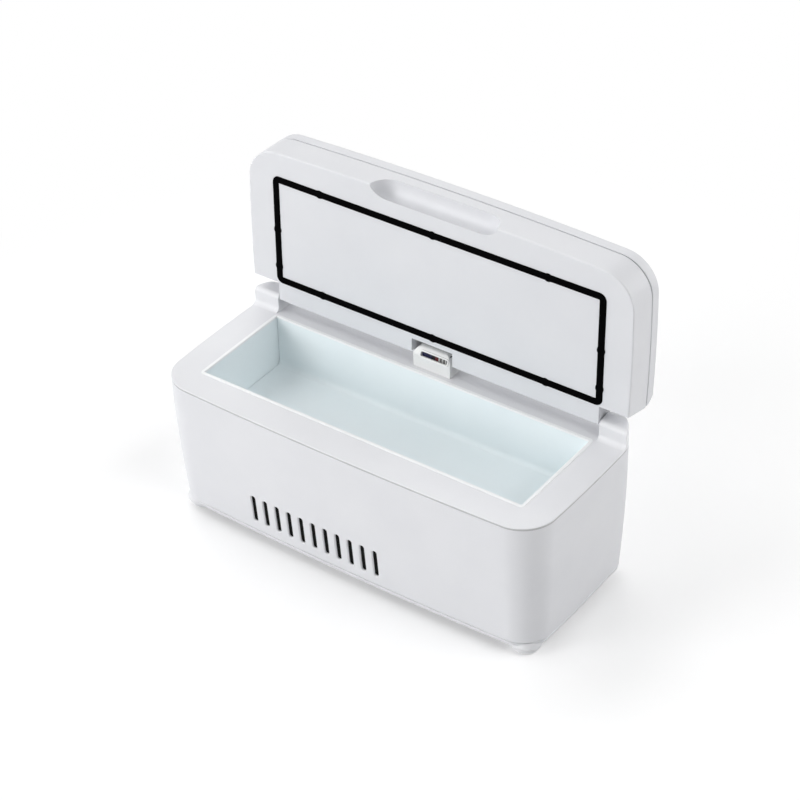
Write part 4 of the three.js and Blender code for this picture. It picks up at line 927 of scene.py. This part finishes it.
deck_foot = deck_z - deck_edge
deck = stack("deck", case_plan, (skirt, skirt_bottom), (skirt, deck_foot), (deck_soft, deck_foot),
             (0.0, deck_foot + deck_soft), *soft_top(deck_z, deck_round, 4))
cut(deck, slab("under", case_plan, skirt + rim_wall, skirt_bottom - overrun, deck_z - deck_plate))
margin = 2 * (strip_width + strip_gap)
cut(deck, slab("mouth", block_plan(bin_length + margin, 2 * bin_y + margin, mouth_corner, bin_x), 0,
               skirt_bottom - overrun, deck_z + overrun))
ear_top = hinge_z + pin_boss
for side, x0 in ((-1, -ear_inner - ear_run), (1, ear_inner)):
    ear = along_x("ear", ear_profile(), x0, x0 + ear_run)
    join(ear, along_x("fillet", foot_fillet(ear_fillet), x0, x0 + ear_run))
    common(ear, stack("flush", case_plan, (ear_inset, deck_z - sink), *soft_top(ear_top, ear_edge, inset=ear_inset)))
    join(deck, ear)
    pin_end = side * (ear_inner - tongue_gap - knuckle + pin_length + fit)
    cut(deck, on_pin_line(pin_bore, side * 100, pin_end))
cut(deck, box("spigot_hole", housing_middle - spigot_half - fit, housing_middle + spigot_half + fit,
              spigot_front - fit, spigot_front + spigot_depth + fit, skirt_bottom - overrun, deck_z + overrun))
# the deck's finish is painted light: the case's plastic made lighter
complete(deck, deck_painted_light, "base", "case_white", "top_deck")

# %% [markdown]
# ## Liner
# The compartment is a pale bent trough with a round along both sides of its floor and two flat end plates. A fine
# dark joint shows where the plates meet it. The trough is one outline drawn along the case, so a single cut makes
# the hollow, and the same outline, a little larger, makes the joints.

# %% Liner
bin_floor = deck_z - 31.0
bin_lean, bin_round = 0.9, 3.2
liner_top = deck_z - 0.9
liner_corner, liner_plate = 3.0, 1.6
joint = 0.35


def trough(grow_by):
    """(y, z) outline of the hollow: walls that lean in a little and a round to the floor."""
    foot = bin_y - bin_lean + grow_by - bin_round
    side = [(bin_y + grow_by, deck_z + overrun), (bin_y + grow_by, deck_z)]
    side += [(foot + bin_round * math.cos(a), bin_floor - grow_by + bin_round * (1 - math.sin(a)))
             for a in quarter(8)]
    return side + [(-y, z) for y, z in reversed(side)]


tray = slab("liner", block_plan(bin_length + 2 * strip_width, 2 * (bin_y + strip_width), liner_corner, bin_x), 0,
            bin_floor - liner_plate, liner_top)
cut(tray, along_x("hollow", trough(0.0), bin_left, bin_right))
for x in (bin_left, bin_right - joint):
    cut(tray, along_x("joint", trough(joint), x, x + joint))
complete(tray, tray_liner, "base", "tray_liner", "inner_tray")

# %% [markdown]
# ## Rim of the mouth
# A strip frames the mouth, a whiter copy of the liner's plastic: a painted highlight along the edge. It stands a hair
# above the deck, with soft edges that also catch the light. It is one section swept along the mouth, so its width is
# the same all round and its corners stay crisp.

# %% Rim
def strip_section(near, far, flat_z, soft_z, soft):
    """(outward, down) section of a strip, flat at one height and with two soft edges at the other."""
    way = 1 if soft_z > flat_z else -1
    edge = [(near + inset, -(soft_z - way * drop)) for inset, drop in quarter_round(soft, 4)]
    edge += [(far - inset, -(soft_z - way * drop)) for inset, drop in reversed(quarter_round(soft, 4))]
    section = [(far, -flat_z), (near, -flat_z), *edge]
    area = sum(x0 * y1 - x1 * y0 for (x0, y0), (x1, y1) in zip(section, section[1:] + section[:1]))
    return section if area > 0 else section[::-1]


strip_rise, strip_soft, strip_corner = 0.2, 0.3, 0.4
mouth_plan = block_plan(bin_length, 2 * bin_y, strip_corner, bin_x, corner=4)
strip = strip_section(0.0, strip_width, liner_top + strip_gap, deck_z + strip_rise, strip_soft)
complete(sweep_round("mouth_rim", mouth_plan, strip, rim_painted_highlight), rim_painted_highlight, "base", "tray_liner")

# %% [markdown]
# ## Housing for the leads
# In the middle of the hinge line a low housing stands on the deck, with round ends and a round shoulder. A raised
# frame on that shoulder, tilted to face up and forward, shows the row of leads inside. The frame is made on a tilted
# plane of its own. The plastic is smoother and a little warmer than the case.

# %% Lead housing
shoulder, shoulder_drop = 4.2, 0.8
crest_y, crest_z, crest = 39.3, 96.9, 2.2
barrel, slope_drop = 3.4, 2.3
housing_top = crest_z + crest
housing_wall, housing_end = 1.0, 1.6
base = deck_z + 0.1
window_tilt = math.radians(32)
window_x, window_y, window_z = 0.85, 35.75, 95.75
window_width, window_height = 16.5, 2.3
window_plan = block_plan(window_width, window_height, 0.5, corner=3)
lead_bore = 2.4


def housing_profile(inset, low):
    """(y, z) outline of the housing, drawn in by inset: upright front, shoulder, tilted face, crest, rear slope."""
    return wrapped(circle(shoulder - inset, front + shoulder, hinge_z - shoulder_drop, 48),
                   circle(crest - inset, crest_y, crest_z, 48), circle(barrel - inset, hinge_y, hinge_z, 48),
                   circle(ear_round - inset, rear - ear_round, hinge_z - slope_drop, 48),
                   [(front + inset, low), (rear - inset, low)])


def on_window(*rings):
    """A body through rings round the window, on its tilted plane: how far wider and how far out each is."""
    c, s = math.cos(window_tilt), math.sin(window_tilt)
    return loft("window", [[(window_x + x, window_y + up * s - out * c, window_z + up * c + out * s)
                            for x, up in outline(window_plan, -wider)] for wider, out in rings])


left, right = housing_middle - housing_half, housing_middle + housing_half
end_round = quarter_round(5.2, 10)
ends = [(left, base), (right, base)] + [(right - inset, housing_top - drop) for inset, drop in end_round]
ends += [(left + inset, housing_top - drop) for inset, drop in reversed(end_round)]
housing = common(along_x("lead_housing", housing_profile(0, base), left - 1, right + 1), along_y("ends", ends, 30, 54))
join(housing, on_window((1.0, -1.2), (1.0, 0.25), (0.92, 0.45), (0.7, 0.55)),
     box("spigot", housing_middle - spigot_half, housing_middle + spigot_half, spigot_front,
         spigot_front + spigot_depth, deck_z - deck_plate, base + sink))
inside_left, inside_right = left + housing_end, right - housing_end
cut(housing, along_x("inside", housing_profile(housing_wall, deck_z + 1.4), inside_left, inside_right),
    box("throat", inside_left + 0.4, inside_right - 0.4, spigot_front + 0.7, spigot_front + 7.0, deck_z - 5.4,
        deck_z + 2.8),
    on_window((0.3, 3.0), (0.3, 0.55), (0.1, 0.42), (0.0, 0.2), (0.0, -1.6)),
    on_pin_line(lead_bore, -16, 16))
complete(housing, bridge_white, "base", "bridge_white", "wire_bridge")

# %% [markdown]
# ## Leads behind the window
# Sixteen thin leads lie side by side. They come forward from the pin line, bend over the shoulder behind the window,
# go down through the deck and end in the connector on the main board. Each colour is one piece: its points are the
# places of its leads, and Geometry Nodes put the same swept route at each of them.

# %% Leads
lead_order = ["navy"] * 6 + ["black"] * 2 + ["maroon"] * 2 + ["pale", "grey", "pale", "grey", "pale"] + ["black"]
lead_pitch = window_width / len(lead_order)
lead_radius = 0.5
lead_bend = shoulder - housing_wall - lead_radius - 0.15
lead_y = hinge_y - 2.0
connector_z = 19.8
bend_y, bend_z = front + shoulder, housing_top - shoulder
guide = [(hinge_y - 0.4, bend_z + lead_bend)]
guide += [(bend_y - lead_bend * math.sin(a), bend_z + lead_bend * math.cos(a)) for a in (0, 0.5, 1.05, 1.57)]
guide += [(bend_y - lead_bend, 89.0), (lead_y - 1.4, deck_z - 2.4), (lead_y, deck_z - 6.4), (lead_y, 53.0),
          (lead_y, connector_z)]


def smooth_route(points, steps=8):
    """A smooth line through (y, z) points."""
    route = []
    ends = [points[0], *points, points[-1]]
    for a, b, c, d in zip(ends, ends[1:], ends[2:], ends[3:]):
        for t in [k / steps for k in range(steps)]:
            route.append(tuple(0.5 * (2 * b[i] + (c[i] - a[i]) * t + (2 * a[i] - 5 * b[i] + 4 * c[i] - d[i]) * t ** 2 +
                                      (3 * b[i] - a[i] - 3 * c[i] + d[i]) * t ** 3) for i in range(2)))
    return [*route, points[-1]]


copies_tree, given = new_tree("copies_at_points", ("Model", "Object"), ("Finish", "Material"))
model = step(copies_tree, "GeometryNodeObjectInfo", {"Object": given["Model"]})
copies = step(copies_tree, "GeometryNodeInstanceOnPoints", {"Points": given["Geometry"],
                                                            "Instance": model.outputs["Geometry"]})
end_tree(copies_tree, copies.outputs[0], given["Finish"])


def place_copies(name, model_piece, places, finish):
    """Copies of a model, which is made about the frame's origin, at places in the case's millimetres."""
    return grow(add_piece(name, places, []), copies_tree, model=model_piece, finish=finish)


lead = sweep("lead", [(0.0, y - middle_y, z) for y, z in smooth_route(guide)], circle(lead_radius, sides=12),
             lead_colours["navy"], closed=False)
for colour, finish in lead_colours.items():
    spots = [(window_x + (k - (len(lead_order) - 1) / 2) * lead_pitch, 0.0, 0.0)
             for k, c in enumerate(lead_order) if c == colour]
    complete(place_copies("leads_" + colour, lead, spots, finish), finish, "base", "leads", "hinge_leads", sharp=60)
bpy.data.meshes.remove(lead.data)

# %% [markdown]
# ## Lid shell
# The lid shares the outline of the case. Its shell carries the flat inner face, and along its rear the lid steps: it
# stands back at the corners to pass the ears, reaches the pins between them, and has a cut-out round the lead
# housing. A finger scoop is pressed into the front edge. It is made closed, where its sizes are easy to read, and
# then turned open about the pins, because the rest position shows it standing up.

# %% Lid shell
lid_bottom = deck_z + 1.0
lid_top = lid_bottom + 24.34
lid_wall = 2.2
lid_inset = 0.04  # keeps the open lid's front edge inside the solids' box
lid_edge, lid_rear_round = 0.8, 8.5
seam_z, half_seam = lid_top - 7.0, 0.28
shell_top = seam_z - half_seam
tongue_x = ear_inner - tongue_gap
corner_setback, corner_slant = 11.1, 3.1
tongue_setback, tongue_slant = 0.3, -2.0
notch_left, notch_right = left - 1.2, right + 1.3
behind_all = 54
scoop_length, scoop_end, scoop_depth = 78.4, 11.0, 10.5
scoop_rise, scoop_height = 4.6, 5.8
hinge_barrel, lid_bore, lead_turn_x = 4.2, 2.1, 20
open_angle = math.radians(92.3)
hinge_point = Vector((0, (hinge_y + middle_y) * MM, hinge_z * MM))
lid_turn = Matrix.Translation(hinge_point) @ Matrix.Rotation(-open_angle, 4, "X") @ Matrix.Translation(-hinge_point)


def complete_on_lid(piece, *details):
    """Turns a piece that was made on the closed lid to the open one, and completes it."""
    piece.data.transform(lid_turn)
    complete(piece, *details)


def behind(x0, x1, setback, slant):
    """All that lies behind a leaning rear face with a round to the top."""
    low = hinge_y - setback
    middle_high = low + slant - lid_rear_round
    profile = [(low, lid_bottom - overrun), (low, lid_bottom)]
    profile += [(middle_high + lid_rear_round * math.cos(a), lid_top - lid_rear_round + lid_rear_round * math.sin(a))
                for a in quarter(12)]
    profile += [(middle_high, lid_top + overrun), (behind_all, lid_top + overrun), (behind_all, lid_bottom - overrun)]
    return along_x("behind", profile, x0, x1)


def trim_rear(piece):
    end = case_length / 2 + overrun
    return cut(piece, behind(-end, -tongue_x, corner_setback, corner_slant),
               behind(tongue_x, end, corner_setback, corner_slant),
               behind(-tongue_x - sink, tongue_x + sink, tongue_setback, tongue_slant),
               box("lead_cut", notch_left, notch_right, hinge_y - 8.4, behind_all, lid_bottom - overrun,
                   hinge_z + 8.8))


def scoop(grow_by):
    """A bowl with round ends in the lower front edge: its middle runs down to the edge towards the tips."""
    reach = scoop_length / 2 - scoop_end
    ends = [(math.sin(a), reach + (scoop_end + grow_by) * math.cos(a)) for a in quarter(12)[1:]]
    return loft("scoop", [[(x, -case_depth / 2 + share * (scoop_depth + grow_by) * math.cos(a),
                            lid_bottom + share * (scoop_rise + (scoop_height + grow_by) * math.sin(a)))
                           for a in full_turn(64)]
                          for share, x in [(share, -x) for share, x in ends] + ends[::-1]])


lid = stack("lid_lower", case_plan, *soft_foot(lid_bottom, lid_edge, 5, lid_inset),
            (lid_inset, shell_top - edge_soft), (edge_soft, shell_top))
trim_rear(lid)
floor_z = lid_bottom + lid_wall
rear_limit = hinge_y - corner_setback - lid_wall
well_rear = hinge_y - tongue_setback + tongue_slant - lid_wall


def before_ears(low, high):
    return box("reach", -case_length / 2, case_length / 2, -case_depth / 2, rear_limit, low, high)


cut(lid, common(slab("hollow", case_plan, lid_wall, floor_z, shell_top + overrun),
                before_ears(floor_z, shell_top + overrun)))
arms = ((-tongue_x, notch_left), (notch_right, tongue_x))
for x0, x1 in arms:
    cut(lid, box("well", x0 + lid_wall, x1 - lid_wall, rear_limit - sink, well_rear, floor_z, shell_top + overrun))
join(lid, common(scoop(lid_wall), slab("pod_limit", case_plan, lid_wall / 2, lid_bottom + lid_wall / 2, shell_top)))
cut(lid, scoop(0.0))
for x0, x1 in arms:
    join(lid, on_pin_line(hinge_barrel, x0, x1, 40))
for side in (-1, 1):
    cut(lid, on_pin_line(pin_bore, side * (tongue_x - 15), side * (tongue_x + overrun)))
cut(lid, on_pin_line(lid_bore, notch_right - overrun, lead_turn_x + lid_bore),
    along_y("lead_bore", circle(lid_bore, lead_turn_x, hinge_z, 24), well_rear - overrun, hinge_y))

seal_plan = block_plan(207, 66, 4, 0.4, -2.3, corner=8)
seal_width = 3.8
groove_side, groove_depth = 0.1, 1.4
groove = slab("groove", seal_plan, -groove_side, lid_bottom - overrun, lid_bottom + groove_depth)
cut(lid, cut(groove, slab("island", seal_plan, seal_width + groove_side, lid_bottom - 5, lid_bottom + 5)))
complete_on_lid(lid, case_white, "lid", "case_white", "lid_shell")

# %% [markdown]
# ## Lid cover
# A second shell closes the lid from outside, with a fine dark line where it meets the first and a generous round on
# its edge. The outer face has a pocket for the display glass and three openings for the keys.

# %% Lid cover
cover_inner = lid_top - lid_wall
cover_low = seam_z + half_seam
lid_round, cover_slope = 1.5, 4.2
lens_length, lens_width, lens_y, lens_ledge = 52, 24, -4, 2
key_x, key_y, key_length, key_width = [-18.0, 0.0, 18.0], -28.0, 12, 7
board_y, post_x, post_y = -11, 34.2, 26.6
lid_post_radius, lid_post_height = 2.4, 5.7

cover = stack("lid_upper", case_plan, (edge_soft, cover_low), (0, cover_low + edge_soft),
              *soft_top(lid_top, lid_round))
trim_rear(cover)
cut(cover, common(stack("hollow", case_plan, (lid_wall, cover_low - overrun), (lid_wall, lid_top - 4),
                        (cover_slope, cover_inner)), before_ears(cover_low - overrun, cover_inner)))
lens_plan = block_plan(lens_length, lens_width, lens_ledge, 0, lens_y, corner=8)
opening_plan = block_plan(lens_length - 2 * lens_ledge, lens_width - 2 * lens_ledge, lens_ledge / 2, 0, lens_y)
cut(cover, stack("pocket", lens_plan, (-fit, lid_top - 1.4), (-fit, lid_top - 0.25), (-0.45, lid_top - 0.07),
                 (-0.75, lid_top + 0.02), (-0.75, lid_top + overrun)),
    slab("opening", opening_plan, 0, cover_inner - overrun, lid_top + overrun))
hole = [(fit, cover_inner - overrun), (fit, lid_top - 0.4), (0.42, lid_top - 0.12), (0.7, lid_top + 0.02),
        (0.7, lid_top + overrun)]


def key_body(name, x, rings, sides):
    """A body through slots round a key: how far wider than the key and how high each is."""
    return loft(name, [[(px, py, z) for px, py in obround(x, key_y, key_length, key_width, wider, sides)]
                       for wider, z in rings])


for x in key_x:
    cut(cover, key_body("key_hole", x, hole, 16))
for x in (-post_x, post_x):
    for y in (board_y - post_y, board_y + post_y):
        join(cover, rod(lid_post_radius, x, y, cover_inner - lid_post_height, cover_inner + sink, 20))
complete_on_lid(cover, case_white, "lid", "case_white", "lid_cover")

# %% [markdown]
# ## Seal
# A black rubber seal runs round the inside of the lid in a groove. It is one cord with a soft front, and small nubs
# stand out of it on both sides where it is pressed into its seat. The cord is swept along a rounded rectangle, and
# the nubs are copies of one small oval at their places along it.

# %% Seal
seal_low, seal_high, seal_soft = lid_bottom - 0.7, lid_bottom + 1.25, 0.6
nub_half, nub_proud = 2.6, 0.5
across = seal_width / 2 + nub_proud
seal = sweep_round("lid_seal", seal_plan, strip_section(-seal_width, 0.0, seal_high, seal_low, seal_soft),
                   gasket_rubber)


def nub(half_x, half_y):
    """A low oval with a soft front, about the frame's origin."""
    rings = [(1.0, seal_high), (1.0, seal_low + 0.45), (0.94, seal_low + 0.15), (0.8, seal_low)]
    return loft("nub", [[(half_x * share * math.cos(a), half_y * share * math.sin(a) - middle_y, z)
                         for a in full_turn(24)] for share, z in rings])


half_x, half_y = seal_plan["length"] / 2 - seal_width / 2, seal_plan["depth"] / 2 - seal_width / 2
long_spots = [(along, side * half_y + seal_plan["y"], 0) for along in (-72.1, 0, 70.04) for side in (-1, 1)]
short_spots = [(side * half_x + seal_plan["x"], along, 0) for along in (-2.432, 20.212) for side in (-1, 1)]
for model_piece, spots in ((nub(nub_half, across), long_spots), (nub(across, nub_half), short_spots)):
    join(seal, place_copies("nubs", model_piece, spots, gasket_rubber))
    bpy.data.meshes.remove(model_piece.data)
complete_on_lid(seal, gasket_rubber, "lid", "gasket_rubber", "lid_gasket")

# %% [markdown]
# ## Feet and screws
# Four soft round feet carry the case. Each reaches up round the corner of the bottom cover, into a seat of its own
# shape, and has a peg inside it. Four screws hold that cover from below. Each is a turned model, and the screw has a
# cross recess cut into its head. The same tree as before puts them at their places.

# %% Feet and screws
peg_radius, peg_end = 2.4, foot_height + 4.5
foot_profile = [(3.4, 0.0), (4.4, 0.08), (5.4, 0.4), (6.4, 1.05), (7.2, 1.9), (7.85, 2.9), (8.35, 4.0), (8.7, 5.4),
                (8.2, 6.9), (7.3, 8.4), (peg_radius, 8.4), (peg_radius, peg_end - 0.4), (peg_radius - 0.4, peg_end)]
screw_z = foot_height + 1.6
thread_count, thread_pitch = 16, 0.65
screw_profile = [(1.9, -1.5), (2.5, -1.3), (2.85, -0.9), (2.9, -0.2), (2.8, 0.0), (1.4, 0.0)]
for k in range(thread_count):
    screw_profile += [(1.1, 0.5 + k * thread_pitch), (1.4, 0.8 + k * thread_pitch)]
screw_profile += [(0.9, 11.2), (0.3, 11.9)]
foot = turn("foot", foot_profile, "z", 0, -middle_y)
screw = turn("screw", screw_profile, "z", 0, -middle_y, screw_z, 24)
for half_x, half_y in ((1.7, 0.3), (0.3, 1.7)):
    cut(screw, box("recess", -half_x, half_x, -half_y - middle_y, half_y - middle_y, screw_z - 2, screw_z - 0.6))
feet = place_copies("feet", foot, foot_spots, foot_rubber)
screws = place_copies("bottom_screws", screw, screw_spots, steel)
for model_piece in (foot, screw):
    bpy.data.meshes.remove(model_piece.data)
complete(feet, foot_rubber, "base", "foot_rubber", "foot_front_left", "foot_front_right", "foot_rear_left",
         "foot_rear_right")
complete(screws, steel, "base", "steel", "bottom_screw_front_left", "bottom_screw_front_right",
         "bottom_screw_rear_left", "bottom_screw_rear_right")

# %% [markdown]
# ## Keys
# On the outer face of the lid three keys stand just proud: down, power and up. Each cap is a rounded slot with a soft
# top edge and a flange that keeps it in. Their marks are a bar, a power ring and a cross in grey. A mark could be
# painted by the cap's finish, but a thin plate that stands a hair above the cap keeps its outline crisp.

# %% Keys
def plates(name, shapes, low, high):
    """Flat shapes as thin plates on the closed lid, joined to one piece."""
    return join(*[along_z(name, shape, low, high) for shape in shapes])


def bar(x, y, width, height):
    x0, x1, y0, y1 = x - width / 2, x + width / 2, y - height / 2, y + height / 2
    return [(x0, y0), (x1, y0), (x1, y1), (x0, y1)]


def arc(radius, x, y, degrees):
    return [(x + radius * math.sin(math.radians(d)), y - radius * math.cos(math.radians(d))) for d in degrees]


key_top, key_round = lid_top + 0.7, 0.6
flange_low, flange_high, flange_side = cover_inner - 1.5, cover_inner - 0.3, 2.4
mark_size, mark_stroke = 3.0, 0.45
ring_outer, ring_inner, ring_gap = 1.55, 1.15, 35
mark_ink = insulation("key_mark", (0.16, 0.17, 0.18), (0.22, 0.23, 0.24))
for use, x in zip(("down", "power", "up"), key_x):
    cap_rings = [(0.0, flange_low)] + [(-inset, z) for inset, z in soft_top(key_top, key_round, 5)]
    cap = key_body("key_cap_" + use, x, cap_rings, 24)
    join(cap, along_z("flange", obround(x, key_y, key_length + flange_side, key_width + flange_side, 0, 24),
                      flange_low, flange_high))
    complete_on_lid(cap, key_white, use + "_key", "key_white", "key_" + use)
    around = range(ring_gap, 360 - ring_gap + 1, 10)
    ring = arc(ring_outer, x, key_y, around) + arc(ring_inner, x, key_y, around[::-1])
    level_bar, upright_bar = bar(x, key_y, mark_size, mark_stroke), bar(x, key_y, mark_stroke, mark_size)
    marks = {"down": [level_bar], "power": [ring, bar(x, key_y - 1.2, 0.4, 1.5)], "up": [level_bar, upright_bar]}
    mark = plates("key_mark_" + use, marks[use], key_top - 0.05, key_top + 0.03)
    complete_on_lid(mark, mark_ink, use + "_key", "key_white")

# %% [markdown]
# ## Display
# The display is a dark glass plate with a soft edge, and its numerals show pale on it. A digit has seven bars, each
# lit or dark, so it is written here as the letters of its lit bars. Every bar is a thin plate with round ends.

# %% Display
glass_thickness, glass_round = 1.3, 0.3
glass = stack("display_glass", lens_plan, (0.0, lid_top - glass_thickness), *soft_top(lid_top, glass_round, 4))
complete_on_lid(glass, display_black, "lid", "display_black", "display_window")

# The closed lid is read from the front, so numerals stand upright towards the rear
segments = {"a": (0, 1, "across"), "b": (0.5, 0.5, "upright"), "c": (0.5, -0.5, "upright"), "d": (0, -1, "across"),
            "e": (-0.5, -0.5, "upright"), "f": (-0.5, 0.5, "upright"), "g": (0, 0, "across")}
digit_width, digit_height, stroke, segment_gap = 5.2, 10.4, 1.1, 1.3
digit_foot = lens_y - digit_height / 2
lit = {-9.5: "acdfg", 2.5: "abcdef"}
shapes = []
for x, on in lit.items():
    for name in on:
        across, up_share, way = segments[name]
        long = (digit_width if way == "across" else digit_height / 2) - segment_gap
        size = (long, stroke) if way == "across" else (stroke, long)
        shapes.append(obround(x + across * digit_width, lens_y + up_share * digit_height / 2, *size, 0, 6))
shapes.append(circle(0.65, -3.5, digit_foot, 16))
shapes += [bar(14.5 + k * 1.9, digit_foot + 0.9, 1.2, 1.8 + 0.9 * k) for k in range(3)]
digit_glow = finish_from("display_numerals", mottle(900.0, (0.55, 0.7, 0.74), (0.66, 0.8, 0.84)), 0.3)
numerals = plates("display_numerals", shapes, lid_top - 0.05, lid_top + 0.01)
complete_on_lid(numerals, digit_glow, "lid", "display_black")
